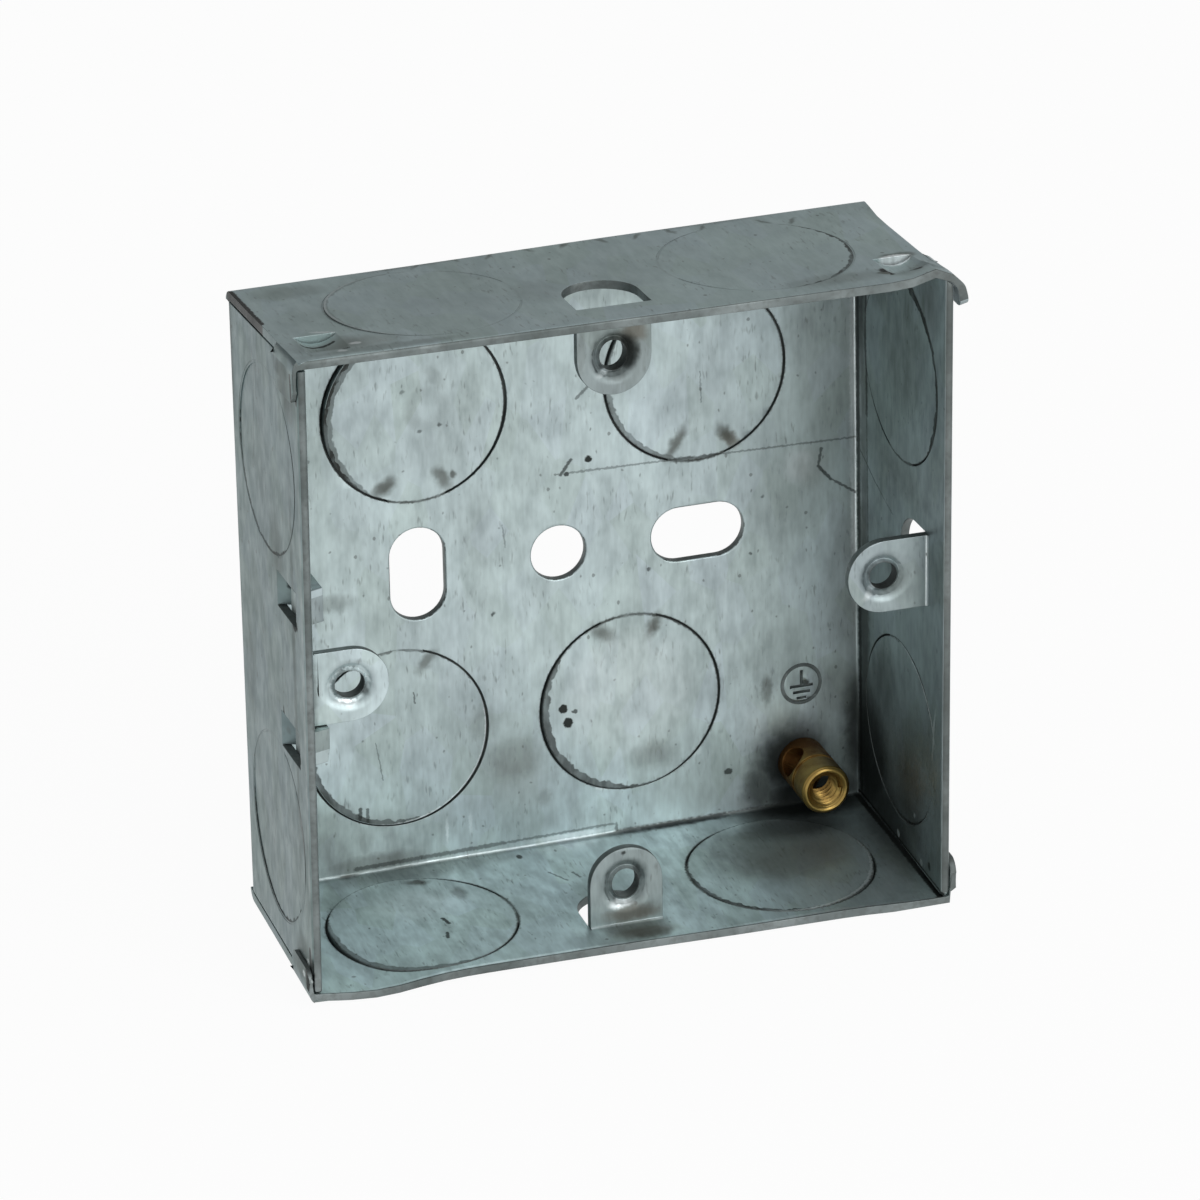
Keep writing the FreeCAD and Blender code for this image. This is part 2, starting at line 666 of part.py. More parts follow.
os.makedirs("parts", exist_ok=True)
for part in parts:
    part.Shape.exportStep(f"parts/{part.Label}.step")
    box = part.Shape.BoundBox
    print(part.Label, f"volume {part.Shape.Volume:.1f} mm3",
          f"X {box.XMin:.2f}..{box.XMax:.2f} Y {box.YMin:.2f}..{box.YMax:.2f}",
          f"Z {box.ZMin:.2f}..{box.ZMax:.2f}")
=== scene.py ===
# %% [markdown]
# # Flush back box
#
# A one gang back box of galvanised steel: a tray folded from one sheet of 1 mm steel,
# with knockouts for conduit, tapped lugs for the screws of a switch plate, one lug that
# slides, and a turned brass terminal for the earth wire. It is seen from the front left
# and a little above, and it has been knocked about in use.

import math

import bmesh
import bpy
from mathutils import Matrix, Vector
from mathutils.bvhtree import BVHTree


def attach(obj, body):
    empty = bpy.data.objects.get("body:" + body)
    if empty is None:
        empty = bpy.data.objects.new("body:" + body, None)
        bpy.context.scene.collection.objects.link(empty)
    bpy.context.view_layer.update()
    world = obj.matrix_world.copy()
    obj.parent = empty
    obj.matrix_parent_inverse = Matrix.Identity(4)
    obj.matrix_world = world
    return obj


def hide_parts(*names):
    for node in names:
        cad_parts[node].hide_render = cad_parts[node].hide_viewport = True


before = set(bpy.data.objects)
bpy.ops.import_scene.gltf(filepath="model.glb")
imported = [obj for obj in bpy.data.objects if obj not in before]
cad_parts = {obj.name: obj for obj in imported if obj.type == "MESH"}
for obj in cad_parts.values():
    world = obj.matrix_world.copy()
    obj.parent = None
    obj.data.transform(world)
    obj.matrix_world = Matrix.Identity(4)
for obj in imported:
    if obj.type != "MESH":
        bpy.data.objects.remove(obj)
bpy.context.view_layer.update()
MM = 0.001
print("nodes:", sorted(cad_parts))

# %% [markdown]
# ## Camera
#
# The camera comes first, because every later choice is judged through it. The photograph
# was taken with a long lens: the edges of the box that run away from the camera hardly
# converge. The place and lens below were found by fitting the box's corners.

# %% Camera
CAMERA_PLACE = Vector((-232.8, -716.4, 319.3))
CAMERA_FORWARD = Vector((0.2891, 0.8713, -0.3965))
CAMERA_UP = Vector((0.1455, 0.3693, 0.9178))
LENS = 227.7
SENSOR = 36
camera = bpy.data.objects.new("camera", bpy.data.cameras.new("camera"))
bpy.context.scene.collection.objects.link(camera)
camera.data.lens = LENS
camera.data.sensor_width = SENSOR
camera.data.clip_end = 20
forward = CAMERA_FORWARD.normalized()
right = forward.cross(CAMERA_UP).normalized()
up = right.cross(forward)
turn = Matrix((right, up, -forward)).transposed().to_4x4()
camera.matrix_world = Matrix.Translation(CAMERA_PLACE * MM) @ turn
bpy.context.scene.camera = camera
print("camera at", [round(v, 3) for v in camera.location])

# %% [markdown]
# ## The shape the box has taken
#
# A folded box is never quite square. The folds of this one spring open towards the rim, so
# the rim is a millimetre wider than the back, and the rim is turned half a degree against
# the back. `as_found` moves a point of the true model, in millimetres, to where it is on
# this box. Every piece goes through it, so that pieces which fit each other still do.

# %% As found: the folds
RIM = 26.0
WALL = 35.6
RIM_TWIST = 0.0100


def ramp(value, low, high):
    """0 below low, 1 above high, and smooth between."""
    share = min(max((value - low) / (high - low), 0), 1)
    return share * share * (3 - 2 * share)


def sprung_folds(p):
    """The walls lean outwards and the rim is twisted against the back."""
    x, y, z = p
    out = -y / RIM
    side_weight = ramp(abs(x), 28, 33)
    flat_weight = ramp(abs(z), 28, 33)
    if x > 0:
        x += side_weight * (-0.20 + 0.29 * out)
    else:
        x -= side_weight * (0.05 + 0.36 * out)
    if z > 0:
        z += flat_weight * (-0.12 + 0.68 * out - 0.20 * (1 - out) * ramp(-x, -10, 20))
    else:
        z -= flat_weight * (-0.35 + 1.04 * out)
    twist = RIM_TWIST * out
    return Vector((x + twist * z, y, z - twist * x))


# %% [markdown]
# The lugs are bent in by hand tools and none of them stands quite where it should. The
# knocks of a working life show in three more places: the top right corner of the rim is
# lifted and rolled over, the bottom edge sags near its left end, and the corner tabs on the
# left are hammered nearly flat against the wall.

# %% As found: lugs, corner and sag
def moved_lugs(p):
    """Each lug and its window shifted along its wall, and the tips bent."""
    x, y, z = p
    at_lugs = ramp(-y, 6, 13)
    inward = at_lugs * ramp(-y, 17.5, 19.0) * (1 - ramp(-y, 23.5, 25))
    if x > 20:
        z += 1.0 * at_lugs * (1 - ramp(abs(z), 5, 10))
        x -= 0.5 * inward * (1 - ramp(abs(z), 6, 9)) * (1 - ramp(x, 31.5, 34.2))
    if x < -20:
        x += 0.45 * inward * (1 - ramp(abs(z + 2.45), 6, 9)) * (1 - ramp(-x, 31.5, 34.2))
    if z > 20:
        x -= 0.36 * at_lugs * (1 - ramp(abs(x), 5, 10))
    if z < -20:
        x += 0.27 * at_lugs * (1 - ramp(abs(x), 5, 10))
    return Vector((x, y, z))


def knocked(p):
    """The lifted corner of the top and the sag of the bottom rim."""
    x, y, z = p
    out = -y / RIM
    if z > 27:
        lift = 1.0 * ramp(x, 29, 34.5) ** 1.5 - 1.5 * ramp(x, 33.8, 36.6)
        z += lift * ramp(z, 27, 33.5) * ramp(out, 0.72, 1)
        behind_rim = ramp(out, 0.0, 0.3) * (1 - ramp(out, 0.75, 0.95))
        x -= 0.65 * ramp(x, 33, 35.6) * ramp(z, 33, 35) * behind_rim
    if z < -34.4:
        sag = 0.85 * math.exp(-((x + 28.8) / 5.6) ** 2) - 0.14 * (1 - ramp(x, -5, 15))
        z -= (sag + 0.3 * ramp(x, 24, 33)) * ramp(out, 0.3, 1)
    return Vector((x, y, z))


def hammered_tabs(p):
    """The corner tabs outside the side walls, beaten flatter."""
    x, y, z = p
    if x < -WALL:
        x = -WALL + (x + WALL) * 0.45
        if z < 0:
            z -= 1.2 * ramp(z, -34.4, -31.5)
    if x > WALL and z < 0:
        x = WALL + (x - WALL) * 0.7
        z += 1.15 * ramp(-z, 33.5, 35.6)
    return Vector((x, y, z))


def as_found(p):
    """Where a point of the square model lies on the bent box, in millimetres."""
    return sprung_folds(knocked(hammered_tabs(moved_lugs(p))))


for side, x, z in (("top left", -WALL, WALL), ("top right", WALL, WALL),
                   ("bottom left", -WALL, -WALL), ("bottom right", WALL, -WALL)):
    corner = Vector((x, -RIM, z))
    print(side, "corner of the rim moved", [round(v, 2) for v in as_found(corner) - corner])


# %% [markdown]
# ## From the construction model to a surface that can be shaded
#
# The construction model arrives as loose triangles. `from_cad` makes a copy of it, joins
# the triangles and clears the lines inside flat faces. `soften` bevels edges: real sheared
# edges are never perfectly sharp, and it is the bevel that catches the light along a rim.
# `slice_up` cuts the flat faces into strips by planes, so that `as_found` has points to
# move. A bevel's own clamp is left off: it measures the shortest edge of the whole mesh,
# and would make every bevel as small as that one allows.

# %% Sheet metal
def from_cad(node):
    """A joined copy of a construction node, in millimetres, with flat faces made whole."""
    bm = bmesh.new()
    bm.from_mesh(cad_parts[node].data)
    bmesh.ops.scale(bm, vec=(1 / MM,) * 3, verts=bm.verts)
    bmesh.ops.remove_doubles(bm, verts=bm.verts, dist=0.002)
    bmesh.ops.dissolve_limit(bm, angle_limit=math.radians(0.5), verts=bm.verts,
                             edges=bm.edges, delimit={"NORMAL"})
    bmesh.ops.recalc_face_normals(bm, faces=bm.faces)
    return bm


def sharp_edges(bm, limit=30):
    return [e for e in bm.edges
            if len(e.link_faces) == 2 and e.calc_face_angle(0) > math.radians(limit)]


def soften(bm, edges, width, segments=2):
    bmesh.ops.bevel(bm, geom=edges, offset=width, offset_type="OFFSET", affect="EDGES",
                    segments=segments, profile=0.5, clamp_overlap=False, material=-1)


def slice_up(bm, axis, places):
    """Cut the faces along planes square to an axis."""
    normal = Vector((axis == "x", axis == "y", axis == "z"))
    for place in places:
        bmesh.ops.bisect_plane(bm, geom=bm.verts[:] + bm.edges[:] + bm.faces[:],
                               plane_co=normal * place, plane_no=normal, dist=1e-4)


# %% [markdown]
# ## A map of the flat blank
#
# Rolling marks, spangle and scratches were in the sheet before it was folded, so they run
# on over a fold as if it were not there. The UV map `blank` unfolds the box again: its
# units are millimetres on the flat sheet, with the middle hole at 0, 0.

# %% Blank map
AT_WALL = 34.4
LUG_ZONE = (-22.7, -19.0)
LUG_PANEL = Vector((0, 120))


def at_lug(c):
    """True near one of the four lugs inside the box."""
    far, near = max(abs(c.x), abs(c.z)), min(abs(c.x), abs(c.z))
    return LUG_ZONE[0] < c.y < LUG_ZONE[1] and far < 34.3 and near < 8


def at_clinch(c):
    """True on the two strips pressed into the top near its front corners."""
    return c.z > 33.7 and 28 < abs(c.x) < 34.2 and c.y < -18


def on_blank(co, middle):
    """The place on the flat blank of a point whose face has this middle."""
    x, y, z = co
    if at_lug(middle):
        return Vector((x, z)) + LUG_PANEL
    if middle.z > AT_WALL or at_clinch(middle):
        return Vector((x, WALL - y))
    if middle.z < -AT_WALL:
        return Vector((x, y - WALL))
    if middle.x > AT_WALL:
        return Vector((WALL - y, z))
    if middle.x < -32.0 and middle.y < -1.1:
        return Vector((y - WALL, z))
    return Vector((x, z))


def map_blank(bm):
    layer = bm.loops.layers.uv.new("blank")
    for face in bm.faces:
        middle = face.calc_center_median()
        for loop in face.loops:
            loop[layer].uv = on_blank(loop.vert.co, middle)


print("middle of the top lies at", tuple(on_blank((0, -RIM / 2, WALL), Vector((0, 0, WALL)))))

# %% [markdown]
# ## Finishing a piece
#
# Every piece ends the same way. It is bent as found, turned to metres and made an object at
# the origin, then tied to the body that carries it. Edges over 40 degrees stay sharp for
# the shading, and normals weighted by area keep the flat faces flat beside their bevels.

# %% Finish a piece
def finish_piece(name, bm, body, node, bend=as_found):
    """Bend the mesh as found, turn it to metres and let it ride on its body."""
    for v in bm.verts:
        v.co = bend(v.co) * MM
    mesh = bpy.data.meshes.new(name)
    bm.to_mesh(mesh)
    bm.free()
    mesh.shade_smooth()
    mesh.set_sharp_from_angle(angle=math.radians(40))
    piece = bpy.data.objects.new(name, mesh)
    bpy.context.scene.collection.objects.link(piece)
    weighted = piece.modifiers.new("flat faces stay flat", "WEIGHTED_NORMAL")
    weighted.keep_sharp = True
    weighted.weight = 100
    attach(piece, body)
    if node:
        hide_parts(node)
    print(name, len(mesh.polygons), "faces")
    return piece


# %% [markdown]
# ## The earth symbol
#
# The sign for earth is struck into the back above its terminal: a ring, an upright and three
# bars. A steel stamp presses it in. Here a cutter of the same shape is taken out of the
# sheet with a Boolean modifier, so the grooves are real and catch the light and the dirt.

# %% The stamp
SYMBOL = Vector((27.66, -1.0, -19.9))
GROOVE = 0.34
GROOVE_DEPTH = 0.2


def bar(bm, along, length, height):
    """A block of the stamp, its middle this far above the symbol's middle."""
    made = bmesh.ops.create_cube(bm, size=1)["verts"]
    bmesh.ops.scale(bm, vec=(length, 2 * GROOVE_DEPTH, height), verts=made)
    bmesh.ops.translate(bm, vec=SYMBOL + Vector((0, 0, along)), verts=made)


RING_RADIUS = 2.25
stamp = bmesh.new()
section = bmesh.ops.create_circle(stamp, segments=4, radius=0.22)["verts"]
bmesh.ops.translate(stamp, vec=SYMBOL + Vector((RING_RADIUS, 0, 0)), verts=section)
bmesh.ops.spin(stamp, geom=stamp.verts[:] + stamp.edges[:], cent=SYMBOL, axis=(0, 1, 0),
               dvec=(0, 0, 0), angle=2 * math.pi, steps=40, use_merge=True)
bar(stamp, 0.72, GROOVE, 1.8)
for along, length in ((-0.25, 2.7), (-0.98, 2.0), (-1.68, 1.15)):
    bar(stamp, along, length, GROOVE)
bmesh.ops.recalc_face_normals(stamp, faces=stamp.faces)
print("stamp:", len(stamp.faces), "faces")

# %% [markdown]
# The Boolean needs two objects, so both meshes are lent to plain ones that are deleted once
# the result has been read back.

# %% Striking it in
def loose_object(name, bm):
    """A plain object of this mesh, for a modifier to work on."""
    mesh = bpy.data.meshes.new(name)
    bm.to_mesh(mesh)
    bm.free()
    made = bpy.data.objects.new(name, mesh)
    bpy.context.scene.collection.objects.link(made)
    return made


def cut_away(bm, cutter):
    """The mesh with the cutter taken out of it, as a new bmesh."""
    whole = loose_object("whole", bm)
    taken = loose_object("taken", cutter)
    boolean = whole.modifiers.new("stamp", "BOOLEAN")
    boolean.operation = "DIFFERENCE"
    boolean.solver = "EXACT"
    boolean.use_self = True
    boolean.object = taken
    bpy.context.view_layer.update()
    result = bmesh.new()
    result.from_object(whole, bpy.context.evaluated_depsgraph_get())
    for spent in (whole.data, taken.data):
        bpy.data.meshes.remove(spent)
    return result


def in_symbol(co):
    """True for a point of the struck grooves."""
    return math.hypot(co.x - SYMBOL.x, co.z - SYMBOL.z) < 2.6 and -1.01 < co.y < -0.6


# %% [markdown]
# ## The folded box
#
# The cut faces of the sheet are bare steel, because it is galvanised before it is blanked.
# They are found before the bevel, while each is still a clean square edge of the sheet, and
# get the second material slot. The bevel's own faces then take the slot of their neighbour.

# %% Cut faces
def is_cut(face):
    """True where a face is the thickness of the sheet and not its skin."""
    c = face.calc_center_median()
    n = face.normal
    if c.y < -25.9 or (in_symbol(c) and c.y > -0.99):
        return True
    if at_clinch(c) and c.y > -24.5:
        return False
    if at_lug(c):
        return abs(n.y) < 0.3 and abs(c.y + 21.1) < 0.45
    if c.y > -1.05:
        return abs(n.y) < 0.1 and max(abs(c.x), abs(c.z)) < 34.0
    if abs(c.z) > 34.55 and abs(c.x) < 34.0:
        return abs(n.z) < 0.1
    if abs(c.x) > 34.55 and abs(c.z) < 34.3:
        return abs(n.x) < 0.1
    return False


# %% Folded box
folded = from_cad("box_body")
before = len(folded.faces)
folded = cut_away(folded, stamp)
print("symbol struck:", before, "->", len(folded.faces), "faces")
cut_faces = [face for face in folded.faces if is_cut(face)]
for face in cut_faces:
    face.material_index = 1
print(len(cut_faces), "cut faces")

# %% [markdown]
# Each kind of edge is rounded by its own amount. The drawn dish of a lug has a wide soft
# mouth, the rim is worn round by handling, and a punch draws in the edge where it enters.
# Everything else gets a fine bevel. A bevel near a bend can throw a point outwards, which
# would stand out as a spike, so those points are put back on the sheet.

# %% Which edges
LUG_HOLES = ((0, 30.15), (0, -30.15), (30.15, 0), (-30.15, -2.45))
LUG_FRONT = -21.6
SCREW_CORE = 1.5
DISH = 2.6
DISH_DEPTH = 0.35


def from_hole(co):
    """Distance of a point from the axis of the nearest lug hole."""
    return min(math.hypot(co.x - x, co.z - z) for x, z in LUG_HOLES)


def shallow_dishes(bm):
    """The drawn dish of each lug is shallow, and its thread starts close under the face."""
    for v in bm.verts:
        on_core = abs(from_hole(v.co) - SCREW_CORE) < 0.05
        if on_core and LUG_FRONT + 0.3 < v.co.y < LUG_FRONT + 1.4:
            v.co.y = LUG_FRONT + DISH_DEPTH


def at_mouth(edge):
    """True for the mouth of the dish round a lug's screw hole."""
    return all(abs(from_hole(v.co) - DISH) < 0.03 and abs(v.co.y - LUG_FRONT) < 0.03
               for v in edge.verts)


def at_rim(edge):
    """True for the long edges of the open front."""
    return all(v.co.y < 0.02 - RIM for v in edge.verts) and edge.calc_length() > 1.5


def at_punch(edge):
    """True for the front edges of the three fixing holes, drawn in by the punch."""
    return all(v.co.y < -0.98 and abs(v.co.x) < 22 and abs(v.co.z) < 6 for v in edge.verts)


# %% Soften the sheet
DISH_MOUTH = 0.5
WORN_RIM = 0.44
DRAWN_IN = 0.22
FINE = 0.07


def keep_inside(bm, skin):
    """A bevel only cuts away: a point it leaves outside the sheet goes back to its face."""
    moved = 0
    for v in bm.verts:
        place, normal = skin.find_nearest(v.co)[:2]
        if (v.co - place).dot(normal) > 0.005:
            v.co = place
            moved += 1
    return moved


def soften_sheet(bm):
    """A wide soft mouth for every dish, a rounded rim, and a fine bevel elsewhere."""
    shallow_dishes(bm)
    skin = BVHTree.FromBMesh(bm)
    soften(bm, [edge for edge in bm.edges if at_mouth(edge)], DISH_MOUTH, 3)
    soften(bm, [edge for edge in sharp_edges(bm) if at_rim(edge)], WORN_RIM, 4)
    soften(bm, [edge for edge in sharp_edges(bm) if at_punch(edge)], DRAWN_IN, 3)
    rest = [edge for edge in sharp_edges(bm, 35) if not all(in_symbol(v.co) for v in edge.verts)]
    soften(bm, rest, FINE)
    print("points put back on the sheet:", keep_inside(bm, skin))


soften_sheet(folded)
ACROSS = [2.5 * step - 34 for step in range(28)]
slice_up(folded, "x", ACROSS)
slice_up(folded, "z", ACROSS)
slice_up(folded, "y", range(-24, 0, 3))
map_blank(folded)
print("sliced into", len(folded.faces), "faces")

# %% [markdown]
# Each side of each wall has its own history: the outside has been handled and lies in the
# light, the bottom inside has caught the dirt. A wall that faces away from the light also
# gets a darker tone, which is painted shade. So every panel gets a finish of its own, and its
# faces are sorted here by where they are and which way they look.

# %% Panels
SKINS = ["back", "top", "bottom", "right", "left", "lugs", "inside", "outside", "cut", "bore"]


def in_bore(co):
    """True inside a lug's screw hole, which is oily and dark."""
    return from_hole(co) < SCREW_CORE + 0.03 and co.y > LUG_FRONT + 0.2


def skin_of(face):
    """The name of the finish for a face of the folded sheet."""
    c = face.calc_center_median()
    inside = face.normal.dot(Vector((0, -RIM / 2, 0)) - c) > 0
    if at_lug(c):
        return "bore" if in_bore(c) else "lugs"
    if c.x < -35.2:
        return "left"
    if c.z > AT_WALL or at_clinch(c):
        return "inside" if inside else "top"
    if c.z < -AT_WALL:
        return "bottom" if inside else "outside"
    if c.x > AT_WALL:
        return "right" if inside else "outside"
    if c.x < -AT_WALL:
        return "inside" if inside else "left"
    return "back" if inside else "outside"


for face in folded.faces:
    skin = "cut" if face.material_index else skin_of(face)
    face.material_index = SKINS.index(skin)
for index, skin in enumerate(SKINS):
    print(skin, sum(face.material_index == index for face in folded.faces), "faces")

# %% [markdown]
# ## Knockouts
#
# A knockout is punched most of the way out and pressed back, so its disc never lies quite
# in the sheet. Each disc here is turned a little about its tie: a point of it moves square
# to the sheet, the more the further it is from the tie. A row gives the disc's middle on
# the blank, the way to its tie, and how far it is pushed in and leans, in millimetres.

# %% Knockouts
KNOCKOUT = 10.2
KNOCKOUTS = {
    "upper_left": ((-15.8, 18.7), (0, -1), 0.18, -0.50),
    "upper_right": ((15.8, 18.7), (0, -1), 0.10, -0.25),
    "lower_left": ((-18.8, -18.8), (0, 1), 0.12, -0.32),
    "lower_right": ((7.8, -18.8), (0, 1), 0.30, -0.30),
    "top_left": ((-18.4, 48.8), (1, 0), -0.15, 0.10),
    "top_right": ((18.4, 48.8), (-1, 0), -0.10, 0.10),
    "bottom_left": ((-20.4, -49.8), (1, 0), 0.25, 0.20),
    "bottom_right": ((20.4, -49.8), (-1, 0), 0.25, 0.25),
    "right_upper": ((49.2, 21.0), (0, -1), -0.15, -0.20),
    "right_lower": ((49.2, -21.0), (0, 1), -0.15, -0.15),
    "left_upper": ((-49.2, 21.0), (0, -1), 0.10, 0.10),
    "left_lower": ((-49.2, -21.0), (0, 1), 0.10, 0.10),
}


def panel_frame(centre):
    """How the blank lies in space at a knockout: origin, both ways along, and inwards."""
    u, v = centre
    if v > 40:
        return Vector((0, WALL, WALL)), Vector((1, 0, 0)), Vector((0, -1, 0)), Vector((0, 0, -1))
    if v < -40:
        return Vector((0, WALL, -WALL)), Vector((1, 0, 0)), Vector((0, 1, 0)), Vector((0, 0, 1))
    if u > 40:
        return Vector((WALL, WALL, 0)), Vector((0, -1, 0)), Vector((0, 0, 1)), Vector((-1, 0, 0))
    if u < -40:
        return Vector((-WALL, WALL, 0)), Vector((0, 1, 0)), Vector((0, 0, 1)), Vector((1, 0, 0))
    return Vector((0, 0, 0)), Vector((1, 0, 0)), Vector((0, 0, 1)), Vector((0, -1, 0))


def tip_disc(bm, centre, tie, push, lean):
    """Turn one disc about its tie: push moves its far end inwards, lean its left side."""
    origin, along_u, along_v, inwards = panel_frame(centre)
    for v in bm.verts:
        p = v.co - origin
        if not -0.1 < p.dot(inwards) < 1.1:
            continue
        u = p.dot(along_u) - centre[0]
        w = p.dot(along_v) - centre[1]
        if math.hypot(u, w) > KNOCKOUT + 0.09:
            continue
        from_tie = (KNOCKOUT - u * tie[0] - w * tie[1]) / (2 * KNOCKOUT)
        side = (u if tie[0] == 0 else w) / KNOCKOUT
        reach = ramp(from_tie, 0.02, 0.6)
        v.co += inwards * reach * (push * from_tie + lean * side)


for centre, tie, push, lean in KNOCKOUTS.values():
    tip_disc(folded, centre, tie, push, lean)
box = finish_piece("folded_box", folded, "box", "box_body")

# %% [markdown]
# The punch leaves the ring almost closed, because a torn burr fills the gap. One thin ring
# lies in each gap: half way down where the inside is seen, and just inside the wall on the
# top and the left, which are seen from outside. It also keeps light from leaking through.

# %% Knockout burrs
BURR_INNER = KNOCKOUT - 0.10
BURR_OUTER = KNOCKOUT + 0.32
BURR_THICK = 0.12


def add_burr(bm, centre):
    """One flat ring under the gap of the knockout with this middle."""
    origin, along_u, along_v, inwards = panel_frame(centre)
    seen_outside = centre[0] < -40 or centre[1] > 40
    ring = bmesh.ops.create_circle(bm, segments=72, radius=BURR_INNER)["verts"]
    circle = [edge for edge in bm.edges if edge.is_wire]
    grown = bmesh.ops.extrude_edge_only(bm, edges=circle)["geom"]
    outer = [g for g in grown if isinstance(g, bmesh.types.BMVert)]
    bmesh.ops.scale(bm, vec=(BURR_OUTER / BURR_INNER,) * 3, verts=outer)
    depth = 0.05 if seen_outside else 0.45
    middle = origin + along_u * centre[0] + along_v * centre[1] + inwards * depth
    place = Matrix((along_u, along_v, inwards)).transposed().to_4x4()
    bmesh.ops.transform(bm, matrix=Matrix.Translation(middle) @ place, verts=ring + outer)


burrs = bmesh.new()
for knockout in KNOCKOUTS.values():
    add_burr(burrs, knockout[0])
bmesh.ops.solidify(burrs, geom=burrs.faces[:], thickness=BURR_THICK)
bmesh.ops.recalc_face_normals(burrs, faces=burrs.faces)
map_blank(burrs)
for face in burrs.faces:
    c = face.calc_center_median()
    face.material_index = 1 if c.z > 34.3 else 2 if c.x < -34.3 else 0
burr = finish_piece("knockout_burrs", burrs, "box", None)

# %% [markdown]
# ## The sliding lug
#
# The left lug is a strip of the same steel, held under two bridges of the wall, so that the
# plate in front can be levelled. It is softened and mapped by the helpers of the sheet. Its
# cut faces are the edge of its plate and the two ends of its strip.

# %% Sliding lug
sliding = from_cad("adjustable_lug")
for face in sliding.faces:
    middle = face.calc_center_median()
    in_plate = middle.x > -33.4 and -21.5 < middle.y < -20.7
    edge_on = in_plate and abs(face.normal.y) < 0.3
    face.material_index = int(edge_on or abs(face.normal.z) > 0.9)
soften_sheet(sliding)
for face in sliding.faces:
    if in_bore(face.calc_center_median()):
        face.material_index = 2
map_blank(sliding)
lug = finish_piece("sliding_lug", sliding, "sliding_lug", "adjustable_lug")

# %% [markdown]
# ## The earth terminal
#
# A post of brass, turned, tapped from its front and drilled across for the wire. The
# construction model has all of its form, so it only needs its fine bevel.

# %% Earth terminal
post = from_cad("earth_terminal")
soften(post, sharp_edges(post), FINE)
terminal = finish_piece("brass_terminal", post, "box", "earth_terminal")

# %% [markdown]
# The bore of the terminal is tapped for its clamp screw. A tap cuts one long spiral groove
# and leaves a spiral ridge. The ridge is a small triangle carried round the axis and along
# it at once, which is what `spin` does when it is given a step along its axis.

# %% Thread
TERMINAL = Vector((27.6, 0, -29.2))
PITCH = 0.7
TURNS = 4.6
TURN_STEPS = 24
THREAD_START = Vector((1.62, -8.75, 0))
thread = bmesh.new()
tooth = bmesh.ops.create_circle(thread, segments=3, radius=0.26)["verts"]
bmesh.ops.rotate(thread, verts=tooth, cent=(0, 0, 0), matrix=Matrix.Rotation(math.pi / 2, 3, "Z"))
bmesh.ops.translate(thread, verts=tooth, vec=TERMINAL + THREAD_START)
bmesh.ops.spin(thread, geom=thread.verts[:] + thread.edges[:], cent=TERMINAL, axis=(0, 1, 0),
               dvec=(0, PITCH / TURN_STEPS, 0), angle=2 * math.pi * TURNS,
               steps=round(TURN_STEPS * TURNS), use_merge=False)
bmesh.ops.holes_fill(thread, edges=[edge for edge in thread.edges if edge.is_boundary], sides=3)
bmesh.ops.recalc_face_normals(thread, faces=thread.faces)
ridge = finish_piece("clamp_thread", thread, "box", None)

# %% [markdown]
# ## Node helpers
#
# A material is written here as a sum is: each line takes the sockets of earlier lines and
# gives a new one. `add` makes any node and fills its inputs with numbers or sockets.

# %% Node helpers
def add(tree, kind, inputs=None, **options):
    """A new node, its options set and its inputs filled with numbers or sockets."""
    made = tree.nodes.new("ShaderNode" + kind)
    for name, value in options.items():
        setattr(made, name, value)
    for name, value in (inputs or {}).items():
        if isinstance(value, bpy.types.NodeSocket):
            tree.links.new(value, made.inputs[name])
        else:
            made.inputs[name].default_value = value
    return made


def maths(tree, operation, *terms, clamp=False):
    inputs = dict(enumerate(terms))
    return add(tree, "Math", inputs, operation=operation, use_clamp=clamp).outputs[0]


def vector(tree, operation, *terms):
    made = add(tree, "VectorMath", dict(enumerate(terms)), operation=operation)
    return made.outputs["Value" if operation in ("LENGTH", "DOT_PRODUCT") else "Vector"]


def levels(tree, value, low, high, to_low=0.0, to_high=1.0, smooth=False):
    """Stretch a value between low and high to the new range, and hold it there."""
    inputs = {"Value": value, "From Min": low, "From Max": high,
              "To Min": to_low, "To Max": to_high}
    kind = "SMOOTHSTEP" if smooth else "LINEAR"
    return add(tree, "MapRange", inputs, interpolation_type=kind).outputs[0]


def blend(tree, share, first, second):
    """Mix two colours. A Mix node has its colours in sockets 6 and 7, and gives output 2."""
    made = add(tree, "Mix", data_type="RGBA", blend_type="MIX")
    for socket, value in zip((0, 6, 7), (share, first, second)):
        if isinstance(value, bpy.types.NodeSocket):
            tree.links.new(value, made.inputs[socket])
        elif socket:
            made.inputs[socket].default_value = (*value, 1)
        else:
            made.inputs[socket].default_value = value
    return made.outputs[2]


def grain(tree, place, wide, long, detail=2.0, rough=0.5, shift=0.0):
    """Noise whose patches are about `wide` by `long` millimetres, 0.5 on average."""
    scaled = vector(tree, "MULTIPLY", place, (1 / wide, 1 / long, 1))
    moved = vector(tree, "ADD", scaled, (shift, shift * 1.7, 0))
    inputs = {"Vector": moved, "Scale": 1.0, "Detail": detail, "Roughness": rough}
    return add(tree, "TexNoise", inputs, noise_dimensions="2D").outputs["Fac"]


# %% [markdown]
# ## Marks as node groups
#
# The smudges, scratches and punched outlines of this box sit in certain places. Each kind
# is one node group with its place and size as inputs. A group takes the dirt so far and
# gives back the larger of that and its own, so marks are simply laid in a row.

# %% A group for marks
def new_group(name, inputs):
    """A node group with a Blank vector, these inputs, and one Value out."""
    group = bpy.data.node_groups.new(name, "ShaderNodeTree")
    for label, kind in inputs.items():
        group.interface.new_socket(label, in_out="INPUT", socket_type="NodeSocket" + kind)
    group.interface.new_socket("Value", in_out="OUTPUT", socket_type="NodeSocketFloat")
    start = group.nodes.new("NodeGroupInput")
    end = group.nodes.new("NodeGroupOutput")
    return group, start.outputs, end.inputs["Value"]


